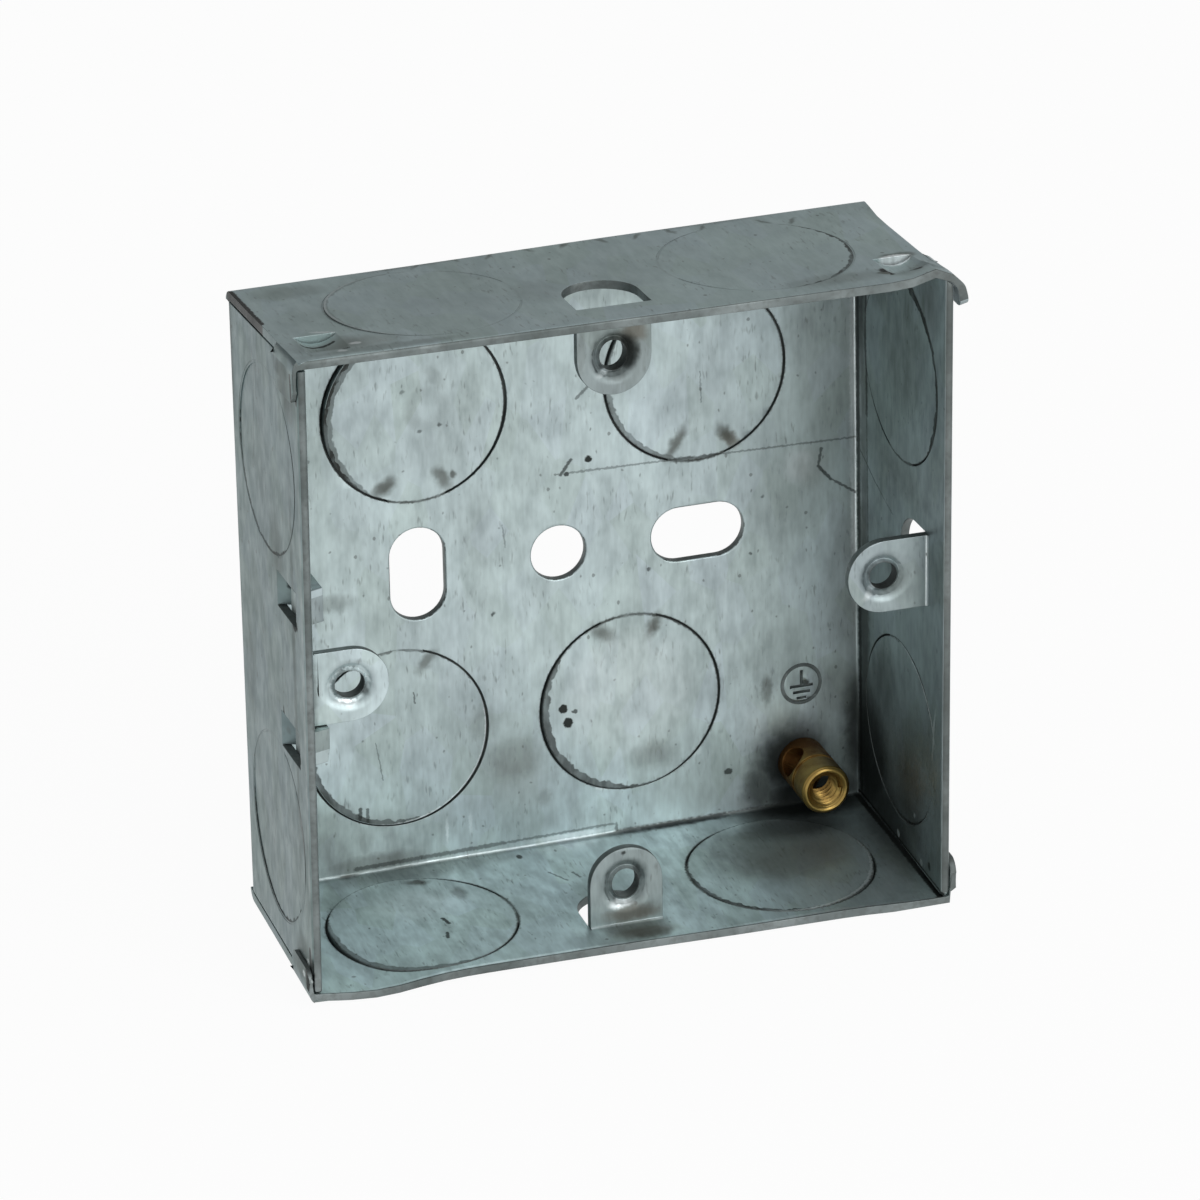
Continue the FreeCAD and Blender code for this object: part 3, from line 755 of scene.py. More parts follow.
# %% A blot is a soft oval spot
def blot_group(name, turning):
    """A group for soft oval spots, which lean over if turning is true."""
    inputs = {"Under": "Float", "Blank": "Vector", "Centre": "Vector", "Half": "Vector",
              "Soft": "Float", "Strength": "Float"}
    if turning:
        inputs["Turn"] = "Float"
    group, given, result = new_group(name, inputs)
    away = vector(group, "SUBTRACT", given["Blank"], given["Centre"])
    if turning:
        away = add(group, "VectorRotate", {"Vector": away, "Angle": given["Turn"]},
                   rotation_type="Z_AXIS").outputs[0]
    reach = vector(group, "LENGTH", vector(group, "DIVIDE", away, given["Half"]))
    inner_edge = maths(group, "SUBTRACT", 1.0, given["Soft"])
    shape = levels(group, reach, inner_edge, 1.0, given["Strength"], 0.0, smooth=True)
    group.links.new(maths(group, "MAXIMUM", shape, given["Under"]), result)
    return group


blot = blot_group("blot", False)
leaning_blot = blot_group("leaning blot", True)

# %% A stroke is a straight line of one width: a scratch, or a line of painted shade in a slit or seam
stroke, given, result = new_group("stroke", {
    "Under": "Float", "Blank": "Vector", "From": "Vector", "To": "Vector",
    "Width": "Float", "Strength": "Float"})
away = vector(stroke, "SUBTRACT", given["Blank"], given["From"])
run = vector(stroke, "SUBTRACT", given["To"], given["From"])
share = maths(stroke, "DIVIDE", vector(stroke, "DOT_PRODUCT", away, run),
              vector(stroke, "DOT_PRODUCT", run, run), clamp=True)
foot = add(stroke, "VectorMath", {0: run, "Scale": share}, operation="SCALE").outputs[0]
off = vector(stroke, "LENGTH", vector(stroke, "SUBTRACT", away, foot))
shape = levels(stroke, off, maths(stroke, "MULTIPLY", given["Width"], 0.4),
               given["Width"], given["Strength"], 0.0, smooth=True)
stroke.links.new(maths(stroke, "MAXIMUM", shape, given["Under"]), result)

# %% A band is a knockout's crushed rim with painted shade, or its lip as a painted highlight, widest on its heavy side
band, given, result = new_group("band", {
    "Under": "Float", "Blank": "Vector", "Ragged": "Vector", "Centre": "Vector",
    "Heavy side": "Vector", "Radius": "Float", "Width": "Float", "Strength": "Float"})
away = vector(band, "SUBTRACT", given["Ragged"], given["Centre"])
facing = vector(band, "DOT_PRODUCT", vector(band, "NORMALIZE", away), given["Heavy side"])
width = levels(band, facing, 0.1, 0.95, 0.0, given["Width"], smooth=True)
depth = maths(band, "SUBTRACT", given["Radius"], vector(band, "LENGTH", away))
inside = levels(band, maths(band, "SUBTRACT", width, depth), -0.02, 0.10, 0.0, 1.0)
true_reach = vector(band, "LENGTH", vector(band, "SUBTRACT", given["Blank"], given["Centre"]))
on_disc = maths(band, "LESS_THAN", true_reach, maths(band, "ADD", given["Radius"], 0.05))
on_disc = maths(band, "MULTIPLY", on_disc, levels(band, width, 0.0, 0.02, 0.0, 1.0))
shape = maths(band, "MULTIPLY", maths(band, "MULTIPLY", inside, on_disc),
              given["Strength"])
band.links.new(maths(band, "MAXIMUM", shape, given["Under"]), result)

# %% A ring is the dirt and painted shade in the gap round a knockout
ring, given, result = new_group("ring", {
    "Under": "Float", "Blank": "Vector", "Centre": "Vector", "Radius": "Float",
    "Width": "Float", "Strength": "Float"})
away = vector(ring, "SUBTRACT", given["Blank"], given["Centre"])
off = maths(ring, "ABSOLUTE", maths(ring, "SUBTRACT", vector(ring, "LENGTH", away),
                                    given["Radius"]))
shape = levels(ring, off, maths(ring, "MULTIPLY", given["Width"], 0.3), given["Width"],
               given["Strength"], 0.0)
ring.links.new(maths(ring, "MAXIMUM", shape, given["Under"]), result)
print("groups:", [group.name for group in bpy.data.node_groups])

# %% [markdown]
# A mark is then one row of numbers. The helpers below turn a row into the inputs of its
# group, and `lay` lays the groups of a whole table over each other. A spot that doesn't
# lean over uses the plain group, which renders faster.

# %% Rows of marks
def lay(tree, group, place, rows, under=0.0, ragged=None):
    """Lay a row of marks of one kind over what is under them."""
    for row in rows:
        inputs = {name: (*value, 0) if isinstance(value, tuple) else value
                  for name, value in row.items()}
        made = tree.nodes.new("ShaderNodeGroup")
        made.node_tree = leaning_blot if "Turn" in row else group
        tree.links.new(place, made.inputs["Blank"])
        if ragged:
            tree.links.new(ragged, made.inputs["Ragged"])
        if isinstance(under, bpy.types.NodeSocket):
            tree.links.new(under, made.inputs["Under"])
        for name, value in inputs.items():
            made.inputs[name].default_value = value
        under = made.outputs["Value"]
    return under


def spot(across, up, half_width, half_height, strength, turn=0, soft=0.7):
    """A soft oval: its middle and half sizes on the blank, and its turn in degrees."""
    row = {"Centre": (across, up), "Half": (half_width, half_height),
           "Soft": soft, "Strength": strength}
    return {**row, "Turn": math.radians(turn)} if turn else row


def spots(*rows):
    """Spots from rows that hold the inputs of `spot` in turn."""
    return [spot(*row) for row in rows]


def lines(*rows):
    """Straight lines, scratches and painted shade, from rows of across and up of one end, then of the
    other, width, strength.
    """
    return [{"From": row[0:2], "To": row[2:4], "Width": row[4], "Strength": row[5]}
            for row in rows]


# %% [markdown]
# ## Zinc
#
# Hot dipped zinc is a soft grey metal. It froze in crystals a few millimetres across, each
# a little lighter or darker than the next, and rolling drew fine streaks and short dark
# dashes over them. Clouds of oxide dull it. These layers are laid over each other on the
# flat blank, all stretched along the rolling direction.

# %% Zinc: the sheet's own pattern
GREEN_ZINC = (0.500, 0.600, 0.590)
BLUE_ZINC = (0.508, 0.600, 0.622)


def sheet_pattern(tree, blank, tone, vary):
    """Colour of the clean sheet, and the mottle, which its relief needs too."""
    cloud = grain(tree, blank, 7, 11, detail=2, shift=3.1)
    mottle = grain(tree, blank, 1.5, 3.4, detail=2, rough=0.6, shift=7.7)
    streak = grain(tree, blank, 0.45, 4.0, detail=2, rough=0.6, shift=21.0)
    stretched = vector(tree, "MULTIPLY", blank, (1 / 3.6, 1 / 6.0, 1))
    crystal = add(tree, "TexVoronoi", {"Vector": stretched, "Scale": 1.0},
                  voronoi_dimensions="2D", feature="F1").outputs["Color"]
    crystal = add(tree, "SeparateColor", {0: crystal}).outputs[0]
    value = tone
    for layer, low, high, depth in ((cloud, 0.3, 0.7, 0.11), (mottle, 0.28, 0.72, 0.10),
                                    (crystal, 0, 1, 0.035), (streak, 0.25, 0.75, 0.05)):
        reach = depth * tone * vary
        value = maths(tree, "ADD", value, levels(tree, layer, low, high, -reach, reach))
    cool = blend(tree, crystal, GREEN_ZINC, BLUE_ZINC)
    colour = add(tree, "VectorMath", {0: cool, "Scale": value}, operation="SCALE").outputs[0]
    return colour, mottle


# %% Zinc: short dark dashes and specks
def small_marks(tree, blank):
    dash = grain(tree, blank, 0.36, 1.5, detail=1, rough=0.5, shift=45.0)
    pit = grain(tree, blank, 0.7, 0.9, detail=0, shift=63.0)
    where = grain(tree, blank, 4, 6, detail=1, shift=51.0)
    dashes = maths(tree, "MULTIPLY", levels(tree, dash, 0.62, 0.82, 0.0, 0.50),
                   levels(tree, where, 0.42, 0.68, 0.05, 1.0))
    return maths(tree, "MAXIMUM", dashes, levels(tree, pit, 0.86, 0.93, 0.0, 0.60))


# %% [markdown]
# ## Where this box is marked
#
# All places are millimetres on the flat blank. The tie of each knockout has two smudges,
# where the punch bruised the zinc; a scribed line runs over the upper right of the back;
# the earth terminal stands in painted shade, with its painted shadow round it; and the rims
# of the knockouts are crushed, with painted shade on their heavy side.

# %% Ragged outlines
def unsteady(tree, blank, scale, far):
    """The blank's coordinates shaken a little, so that marks get ragged outlines."""
    noise = add(tree, "TexNoise", {"Vector": blank, "Scale": scale, "Detail": 2.0},
                noise_dimensions="2D").outputs["Color"]
    around = vector(tree, "SUBTRACT", noise, (0.5, 0.5, 0.5))
    return vector(tree, "ADD", blank, vector(tree, "MULTIPLY", around, (far, far, 0)))


# %% Marks round the knockouts
def rim(name, heavy, width, strength=1.0):
    """A band along the rim of a knockout, widest towards heavy: crushed with painted shade, or as a
    lip a painted highlight.
    """
    length = math.hypot(*heavy)
    side = (heavy[0] / length, heavy[1] / length)
    return {"Centre": KNOCKOUTS[name][0], "Heavy side": side, "Radius": KNOCKOUT,
            "Width": width, "Strength": strength}


def gap(name, strength=0.8, width=0.22):
    """Dirt and painted shade in the gap round a knockout."""
    return {"Centre": KNOCKOUTS[name][0], "Radius": KNOCKOUT + 0.08, "Width": width,
            "Strength": strength}


def crease(name, strength=0.6):
    """The line pressed across the tie of a knockout."""
    centre, tie = KNOCKOUTS[name][:2]
    return {"Centre": centre, "Heavy side": tie, "Radius": KNOCKOUT + 0.12,
            "Width": 0.17, "Strength": strength}


# %% [markdown]
# Each panel has a table for each kind of mark. Smudges lie on the zinc, some of them painted
# shade; stains are mostly painted shade in the corners, in the dishes and round the terminal;
# rust changes its colour; bright spots are rubbed places and painted highlights; chips and
# scratches go through it, and some lines are painted shade in slits and seams; rims follow
# the punched outlines with painted shade and lips with painted highlights, and gaps hold dirt
# and painted shade between. `tone` is how light the clean panel is, set darker as painted
# shade on walls that face away from the light, `vary` how mottled, `cast` its tint, and
# `metallic` how much it mirrors the room.

# %% The back inside
PANELS = {}
FOLD_DIRT = spots((-31.5, -36.0, 3.8, 2.6, 0.95), (-25.0, -36.0, 2.0, 2.0, 0.95),
                  (-19.0, -35.8, 3.2, 1.8, 0.85), (-11.5, -35.8, 2.0, 1.5, 0.75))
PANELS["back"] = {
    "tone": 0.88,
    "smudges_and_shade": spots(
        (-19.3, 10.6, 1.3, 2.4, 1.0, 54, 0.85), (-12.9, 10.8, 1.3, 2.3, 0.85, -28, 0.85),
        (-11.6, 10.9, 0.5, 0.7, 0.9), (13.6, 10.8, 1.0, 3.4, 0.95, 32, 0.85),
        (19.3, 10.9, 1.1, 2.4, 0.95, -42, 0.85), (4.9, -10.2, 1.3, 2.6, 0.8, -50, 0.9),
        (10.6, -10.2, 1.2, 2.3, 1.0, 28, 0.85), (-15.2, -10.3, 1.1, 2.3, 0.8, 42, 0.85),
        (-13.4, 22.3, 1.2, 3.0, 0.30, -35), (-15.8, 18.0, 1.6, 2.2, 0.22),
        (-5.7, -23.5, 4.6, 3.8, 0.55), (-9.1, -18.7, 2.2, 2.8, 0.40), (10.5, -25.5, 3.8, 2.4, 0.45),
        (-2.2, -28.6, 1.2, 1.4, 0.35), (-25.6, -2.0, 3.6, 1.4, 0.40), (23.6, -20.0, 0.9, 2.6, 0.65),
        (-22.5, -33.6, 8.5, 2.0, 0.60), (-27.0, -30.0, 9.0, 6.0, 0.40),
        # These three spots by the right wall are its painted shadow on the back.
        (31.0, 20.0, 6.0, 20.0, 0.30), (33.0, -8.0, 4.0, 14.0, 0.35), (31.5, -21.0, 4.0, 5.0, 0.45),
        (-9.0, 4.0, 3.0, 6.0, 0.16), (0.0, 30.0, 30.0, 3.0, 0.16),
        (-15.8, 19.0, 9.5, 9.5, 0.10, 0, 0.3), (-22.0, -29.5, 13.0, 5.0, 0.18),
        (25.0, 3.0, 6.0, 8.0, 0.14)) + FOLD_DIRT,
    # Painted shade and the terminal's painted shadow, with some stain, in the lower right corner.
    "shade_and_stains": spots(
        (28.5, -33.4, 9.0, 4.2, 1.0, 0, 0.7), (34.8, -26.0, 3.2, 11.0, 0.90),
        (26.3, -28.9, 6.4, 6.8, 1.0, 0, 0.70), (22.6, -32.0, 3.0, 4.6, 0.75),
        (15.0, -35.0, 12.0, 0.9, 0.85)),
    "scratches_and_shade": lines(
        (-0.2, 9.15, 34.9, 8.35, 0.16, 0.50), (0.4, 9.0, 1.6, 10.6, 0.26, 0.8),
        (30.3, 7.6, 29.9, 5.6, 0.24, 0.7), (29.9, 5.6, 31.4, 3.9, 0.26, 0.8),
        (31.4, 3.9, 34.8, 1.6, 0.2, 0.7), (16.4, 18.6, 16.5, 15.0, 0.14, 0.4),
        (-6.3, 4.2, -6.0, 1.6, 0.12, 0.4), (2.4, 17.6, 4.4, 19.3, 0.26, 0.6),
        (-23.4, -28.0, -23.3, -26.4, 0.3, 0.8), (-22.5, -28.0, -22.5, -26.6, 0.26, 0.7),
        (-21.3, -19.0, -20.6, -23.4, 0.12, 0.45), (-16.8, -13.8, -16.7, -15.0, 0.14, 0.6),
        (-24.0, -33.9, -7.0, -33.6, 0.34, 0.6), (-7.0, -33.6, 5.6, -33.4, 0.2, 0.5),
        (5.9, -34.6, 30.0, -34.6, 0.55, 0.9), (5.9, -33.4, 5.9, -34.8, 0.24, 0.45)),
    "chips": spots(
        (3.6, 10.4, 0.5, 0.46, 1.0, 0, 0.4), (1.1, 9.0, 0.36, 0.34, 0.9, 0, 0.4),
        (0.0, -18.3, 0.62, 0.62, 1.0, 0, 0.3), (0.5, -20.0, 0.66, 0.7, 1.0, 0, 0.3),
        (1.3, -18.8, 0.4, 0.3, 0.8, 0, 0.4), (19.0, -29.1, 0.6, 0.5, 0.85, 0, 0.4),
        (-15.2, 16.4, 0.4, 0.3, 0.6), (-13.0, 16.8, 0.4, 0.35, 0.7), (-17.1, 21.2, 0.4, 0.35, 0.5),
        (21.9, -3.5, 0.3, 0.3, 0.7), (10.2, -3.5, 0.34, 0.34, 0.75), (23.4, 3.0, 0.3, 0.3, 0.6),
        (-7.6, -6.0, 0.3, 0.45, 0.8, 40)),
    "rims": [
        rim("upper_left", (-1, 0.15), 1.0, 0.65), rim("upper_left", (-1, 0.15), 0.5, 1.0),
        rim("upper_right", (-0.8, -0.6), 0.6, 0.65),
        rim("lower_left", (-0.75, -0.65), 0.75, 0.85), rim("lower_right", (-0.85, -0.5), 0.85, 0.80),
        crease("upper_left"), crease("upper_right"), crease("lower_left"), crease("lower_right"),
    ],
    "gaps": [gap("upper_left", 0.9), gap("upper_right", 0.9, 0.26),
             gap("lower_left", 0.25), gap("lower_right", 0.9, 0.26),
             {"Centre": (-14.4, 18.8), "Radius": 1.9, "Width": 0.9, "Strength": 0.16}],
    # The lip is a painted highlight on the edge of a knockout.
    "lips": [rim("lower_left", (0.75, -0.66), 0.24, 0.8)],
    "rust": spots(
        (19.7, 10.3, 1.0, 1.8, 0.8, -42), (29.0, 5.6, 2.6, 3.6, 0.25),
        (-5.0, -26.0, 4.0, 4.0, 0.15)),
    # Mostly painted highlights, as along the bends to the right wall and to the bottom, with some
    # rubbed places.
    "bright": spots(
        (27.6, 6.0, 2.2, 3.0, 0.30), (0.4, -34.0, 5.8, 0.42, 0.60, 0, 0.6),
        (-12.0, -34.3, 8.0, 0.36, 0.25, 0, 0.6), (34.1, 8.0, 0.55, 27.0, 0.95, 0, 0.8),
        (7.8, -18.0, 9.0, 9.0, 0.20, 0, 0.4), (-22.0, 30.0, 9.0, 4.0, 0.25),
        (-13.5, -30.8, 0.25, 2.4, 0.5), (-10.8, -30.4, 0.3, 2.0, 0.4)),
}

# %% The bottom inside
PANELS["bottom"] = {
    "tone": 0.90,
    "smudges_and_shade": spots(
        (-17.0, -38.0, 14.0, 2.6, 0.30), (-18.3, -40.8, 1.8, 0.9, 0.9, 10),
        (0.5, -58.0, 5.0, 3.0, 0.70), (1.8, -60.0, 3.4, 1.6, 0.7), (-14.6, -44.5, 1.2, 2.0, 0.5),
        (21.5, -46.0, 13.0, 10.0, 0.62), (-1.0, -50.0, 5.0, 4.0, 0.30),
        (30.0, -55.0, 9.0, 7.0, 0.35)) + FOLD_DIRT,
    # Painted shade in the right corner by the terminal and the right wall, and along the fold to the
    # back.
    "shade_and_stains": spots(
        (28.0, -37.0, 13.0, 5.5, 1.0), (25.0, -42.0, 9.0, 4.0, 0.60), (35.0, -46.0, 4.0, 12.0, 0.7),
        (13.0, -36.6, 13.0, 1.0, 0.9)),
    "scratches_and_shade": lines(
        (-17.8, -50.9, -18.1, -49.6, 0.3, 0.95), (-18.9, -54.0, -18.6, -52.9, 0.26, 0.9),
        (-4.0, -43.0, -2.8, -45.4, 0.2, 0.6), (-1.6, -43.8, -1.2, -45.2, 0.18, 0.6),
        (34.2, -37.0, 34.6, -61.4, 0.50, 1.0)),
    "chips": spots((-5.9, -38.4, 0.4, 0.6, 0.9, 0, 0.4)),
    "rims": [
        rim("bottom_left", (-0.7, -0.7), 0.7, 0.6), rim("bottom_right", (-0.6, -0.7), 0.5, 0.9),
        crease("bottom_left"), crease("bottom_right", 0.4),
    ],
    "gaps": [gap("bottom_left", 0.9, 0.30), gap("bottom_right", 1.0, 0.30)],
    "lips": [rim("bottom_right", (0.7, -0.7), 0.50, 1.0), rim("bottom_left", (0.2, -1.0), 0.18, 0.4)],
    "rust": spots(
        (22.0, -49.0, 8.0, 6.0, 0.45), (1.5, -59.5, 4.4, 1.8, 0.8), (33.0, -52.0, 2.6, 8.0, 0.35)),
    "bright": spots(
        (-20.0, -46.0, 7.0, 5.0, 0.25), (-14.0, -61.2, 20.0, 0.4, 0.7, 0),
        (20.0, -61.2, 14.0, 0.4, 0.6, 0)),
}

# %% The right inside
PANELS["right"] = {
    # This side of the wall faces away from the light, so its low tone is painted shade.
    "tone": 0.55,
    "smudges_and_shade": spots(
        (38.6, 0.0, 1.5, 60.0, 0.5, 0, 0.6), (50.0, 24.0, 8.0, 10.0, 0.30),
        (46.0, -2.0, 3.0, 3.0, 0.5), (44.0, 30.0, 6.0, 7.0, 0.4), (57.0, 31.0, 4.0, 5.0, 0.5),
        (50.0, 8.0, 8.0, 4.0, 0.25)),
    # Painted shade over the lower part of this wall and along its fold to the back.
    "shade_and_stains": spots(
        (40.0, -28.0, 8.5, 13.0, 0.95), (46.0, -34.0, 11.0, 7.5, 0.85),
        (44.0, -18.0, 5.0, 8.0, 0.45), (38.4, -14.0, 2.2, 18.0, 0.6), (37.6, 26.0, 1.6, 12.0, 0.7),
        (50.0, -31.0, 9.0, 4.0, 0.6)),
    "scratches_and_shade": lines(
        (35.0, 8.3, 43.0, 4.5, 0.16, 0.6), (43.0, 4.5, 47.0, 2.5, 0.14, 0.4),
        (36.9, 34.0, 37.2, -34.0, 0.5, 0.85), (39.2, 34.0, 39.4, 12.0, 0.4, 0.8),
        (39.4, 12.0, 39.6, -4.0, 0.2, 0.5), (36.5, -34.3, 61.0, -34.4, 0.4, 1.0),
        # These three rows are painted shade along the outline of the upper knockout.
        (52.4, 30.9, 55.8, 28.9, 0.55, 1.0), (55.8, 28.9, 58.1, 26.2, 0.55, 1.0),
        (58.1, 26.2, 59.3, 22.8, 0.4, 0.9)),
    "chips": spots(
        (37.2, 26.6, 0.5, 0.7, 1.0, 0, 0.4), (58.0, -33.0, 0.5, 0.6, 0.9, 0, 0.4)),
    "rims": [
        rim("right_upper", (1, 0.55), 1.0, 1.0), rim("right_lower", (1, 0.1), 0.35, 0.5),
        crease("right_upper"), crease("right_lower"),
    ],
    "gaps": [gap("right_upper", 0.6), gap("right_lower", 0.5)],
    "lips": [rim("right_lower", (0.9, 0.4), 0.26, 0.7)],
    "rust": spots((52.0, -27.0, 5.0, 6.0, 0.5)),
    "bright": spots(
        (48.6, -33.6, 0.45, 0.5, 1.0, 0, 0.4), (55.6, -33.7, 0.5, 0.5, 1.0, 0, 0.4),
        (58.9, -17.5, 0.35, 4.5, 0.75, 12), (53.0, -29.6, 0.3, 0.35, 0.8)),
}

# %% [markdown]
# The outside has rubbed against other boxes, so it is duller and less mottled. A row of
# small leaf shaped bruises, leaning to and fro, runs along the fold of the top.

# %% The top outside
LEAVES = [(-18.6, 36.6, 30), (-15.2, 37.0, -35), (-11.0, 36.7, 25), (-7.2, 37.2, -30),
          (-3.0, 37.0, 35), (1.2, 37.3, -32), (5.2, 37.6, 30), (9.0, 37.8, -35),
          (12.8, 37.6, 28), (16.4, 37.9, -30), (23.0, 38.6, 30), (26.0, 39.6, -35)]
PANELS["top"] = {
    "tone": 0.83, "metallic": 0.65, "vary": 0.6, "cast": (0.95, 1.0, 1.0),
    "smudges_and_shade": spots(
        (18.0, 36.4, 10.0, 1.4, 0.40), (-14.0, 36.4, 10.0, 1.3, 0.45, 4),
        (-30.0, 40.0, 6.0, 3.0, 0.35), (-31.0, 57.6, 5.5, 3.4, 0.50),
        # The two spots below and the one at 32.0, 58.6 are painted shade in the slits of the pressed
        # strip by the right corner.
        (30.5, 58.4, 2.6, 0.9, 1.0, 0, 0.4), (32.4, 54.0, 2.8, 1.2, 0.8, 0, 0.5),
        (24.0, 58.4, 8.0, 2.2, 0.40), (-6.0, 50.0, 5.0, 5.0, 0.22), (32.0, 58.6, 4.0, 2.4, 0.45),
        (-26.0, 60.4, 12.0, 1.2, 0.45), (-20.0, 48.0, 17.0, 16.0, 0.12),
        *[(across, up, 0.5, 1.5, 0.75, turn, 0.8) for across, up, turn in LEAVES]),
    # Lines of painted shade: in the corner seam and in the slits of the two pressed strips.
    "scratches_and_shade": lines(
        (-35.4, 37.2, -35.4, 48.6, 0.34, 1.0), (29.3, 57.6, 32.4, 59.3, 0.75, 1.0),
        (-33.4, 56.2, -30.2, 55.8, 0.34, 1.0)),
    "chips": spots((-29.9, 59.2, 0.5, 0.5, 1.0, 0, 0.4)),
    "rims": [
        rim("top_left", (-1, -0.5), 0.5, 0.35), rim("top_right", (1, 0.15), 0.36, 0.9),
    ],
    "gaps": [gap("top_left", 0.12), gap("top_right", 0.15)],
    "lips": [rim("top_left", (-1, -0.2), 0.3, 0.3)],
    "rust": spots((-28.0, 58.0, 6.0, 2.6, 0.30)),
    # Painted highlights: on the pressed strip by the right corner and by the tab on the left.
    "bright": spots(
        (32.0, 54.3, 2.1, 0.8, 1.0, 0, 0.3), (-28.6, 58.2, 0.8, 0.5, 0.9, 0, 0.5),
        (-30.4, 60.0, 0.6, 0.4, 0.7, 0, 0.5), (-30.6, 53.6, 1.8, 0.3, 0.6, -22)),
}

# %% The left outside
PANELS["left"] = {
    # The low tone of this wall is painted shade.
    "tone": 0.42, "metallic": 0.85, "vary": 0.55, "cast": (0.90, 1.0, 1.0),
    "smudges_and_shade": spots(
        (-36.5, 30.0, 1.6, 14.0, 0.45), (-52.0, 12.0, 3.0, 5.0, 0.35),
        (-40.0, -6.0, 3.0, 8.0, 0.25), (-58.0, 31.0, 3.0, 4.0, 0.5), (-57.5, 33.4, 4.0, 1.6, 0.5),
        (-58.0, -32.0, 4.0, 3.0, 0.5), (-57.6, 0.0, 0.9, 30.0, 0.35)),
    # Painted shade by the two bridges of the sliding lug and beside the lower tab.
    "shade_and_stains": spots(
        (-52.7, 8.3, 0.6, 1.5, 0.9, 0, 0.4), (-58.2, 5.7, 1.2, 0.9, 0.9, 0, 0.4),
        (-52.7, -7.0, 0.6, 1.5, 0.9, 0, 0.4), (-58.0, -9.4, 1.3, 0.8, 0.9, 0, 0.4),
        (-61.3, -33.2, 1.0, 3.0, 0.95, 0, 0.5)),
    # All but the first row are painted shade: in the corner seam and beside the tabs.
    "scratches_and_shade": lines(
        (-45.0, 30.0, -43.6, 18.0, 0.12, 0.35), (-35.6, 37.0, -35.6, 48.6, 1.2, 1.0),
        (-60.6, 33.8, -61.0, 31.0, 0.36, 0.9), (-60.4, -30.5, -60.9, -35.0, 0.5, 1.0)),
    "rims": [rim("left_upper", (0.45, -0.9), 0.34, 0.9), rim("left_lower", (0.45, -0.9), 0.34, 0.8)],
    "gaps": [gap("left_upper", 0.10), gap("left_lower", 0.12)],
    # Painted highlights on the two bridges and the lower tab.
    "bright": spots(
        (-61.2, 0.0, 1.2, 36.0, 0.12), (-55.4, 8.3, 1.8, 0.45, 0.9, 0, 0.5),
        (-55.2, -7.4, 1.8, 0.45, 0.9, 0, 0.5), (-59.5, -32.2, 0.6, 0.8, 0.8, 0, 0.5)),
}

# %% [markdown]
# The lugs are drawn with their own place on the blank, so their rows are written as seen
# from the front, with the middle hole at 0, 0, and then moved there. The sides that do not
# show are the same zinc with little wear.

# %% The lugs
def on_lugs(marks):
    """The same marks, moved to where the lugs lie on the blank."""
    return [{**row, "Centre": (row["Centre"][0] + LUG_PANEL.x, row["Centre"][1] + LUG_PANEL.y)}
            for row in marks]


PANELS["lugs"] = {
    "tone": 0.60,
    "smudges_and_shade": on_lugs(spots(
        (0.9, 31.0, 3.0, 2.8, 0.75), (0.2, 28.2, 2.2, 1.4, 0.5), (1.0, -33.2, 4.4, 1.2, 0.6),
        (-3.6, 31.0, 0.9, 4.0, 0.5), (30.6, -0.6, 2.3, 2.3, 0.35), (0, 30.0, 9.0, 9.0, 0.30))),
    # Mostly painted shade in and round the dish of each screw hole.
    "shade_and_stains": on_lugs(spots(
        (1.5, 30.3, 1.5, 2.2, 0.9, 0, 0.5), (1.3, -29.8, 0.8, 1.7, 0.7, 0, 0.5),
        (0, 30.15, 2.1, 2.1, 0.7, 0, 0.3), (0, -30.15, 2.1, 2.1, 0.6, 0, 0.3),
        (30.15, 0, 2.1, 2.1, 0.65, 0, 0.3))),
    "chips": on_lugs(spots((-0.3, -26.6, 0.35, 0.3, 0.9))),
    "rust": on_lugs(spots((2.2, 32.4, 2.0, 1.6, 0.9), (0.6, -33.4, 4.2, 1.2, 0.7))),
    "bright": on_lugs(spots(
        (-0.6, -32.2, 1.8, 0.6, 0.8), (28.6, -1.6, 0.6, 1.6, 0.5, 40),
        (-0.8, 28.6, 1.6, 0.5, 0.4, -20))),
}
PANELS["sliding"] = {
    "tone": 0.98,
    "smudges_and_shade": on_lugs(spots((-33.8, -2.4, 0.9, 5.0, 0.5))) + spots((-54.0, -3.0, 9.0, 16.0, 0.62)),
    # Mostly painted shade in and round the dish of the screw hole.
    "shade_and_stains": on_lugs(spots((-29.0, -2.9, 0.8, 1.6, 0.7, -30, 0.5),
                            (-30.15, -2.45, 2.1, 2.1, 0.6, 0, 0.3))),
    "bright": on_lugs(spots((-30.6, -4.4, 1.6, 0.5, 0.8, 10))),
}

# %% The sides that do not show
PANELS["inside"] = {"tone": 0.66, "smudges_and_shade": spots((-48.0, 0.0, 9.0, 20.0, 0.45))}
PANELS["outside"] = {
    "tone": 0.66, "metallic": 0.65,
    "smudges_and_shade": spots((0.0, -48.0, 30.0, 8.0, 0.3), (48.0, 5.0, 8.0, 22.0, 0.3)),
}
for name, marks in PANELS.items():
    print(name, sum(len(rows) for rows in marks.values() if isinstance(rows, list)), "marks")

# %% [markdown]
# The masks of a panel are laid over the clean zinc in turn: first the dirt and the painted
# shade that dull it, then the rubbed places and the painted highlights, last the dirt and
# painted shade in the gaps and the scratches. Marked places are rougher and bright ones
# smoother. Only the clean sheet's own mottle and its gentle waves go into the relief, because
# the marks have no height here.

# %% Zinc: the masks of a panel
KINDS = ("smudges_and_shade", "shade_and_stains", "scratches_and_shade", "chips", "rims", "lips", "gaps", "rust", "bright")


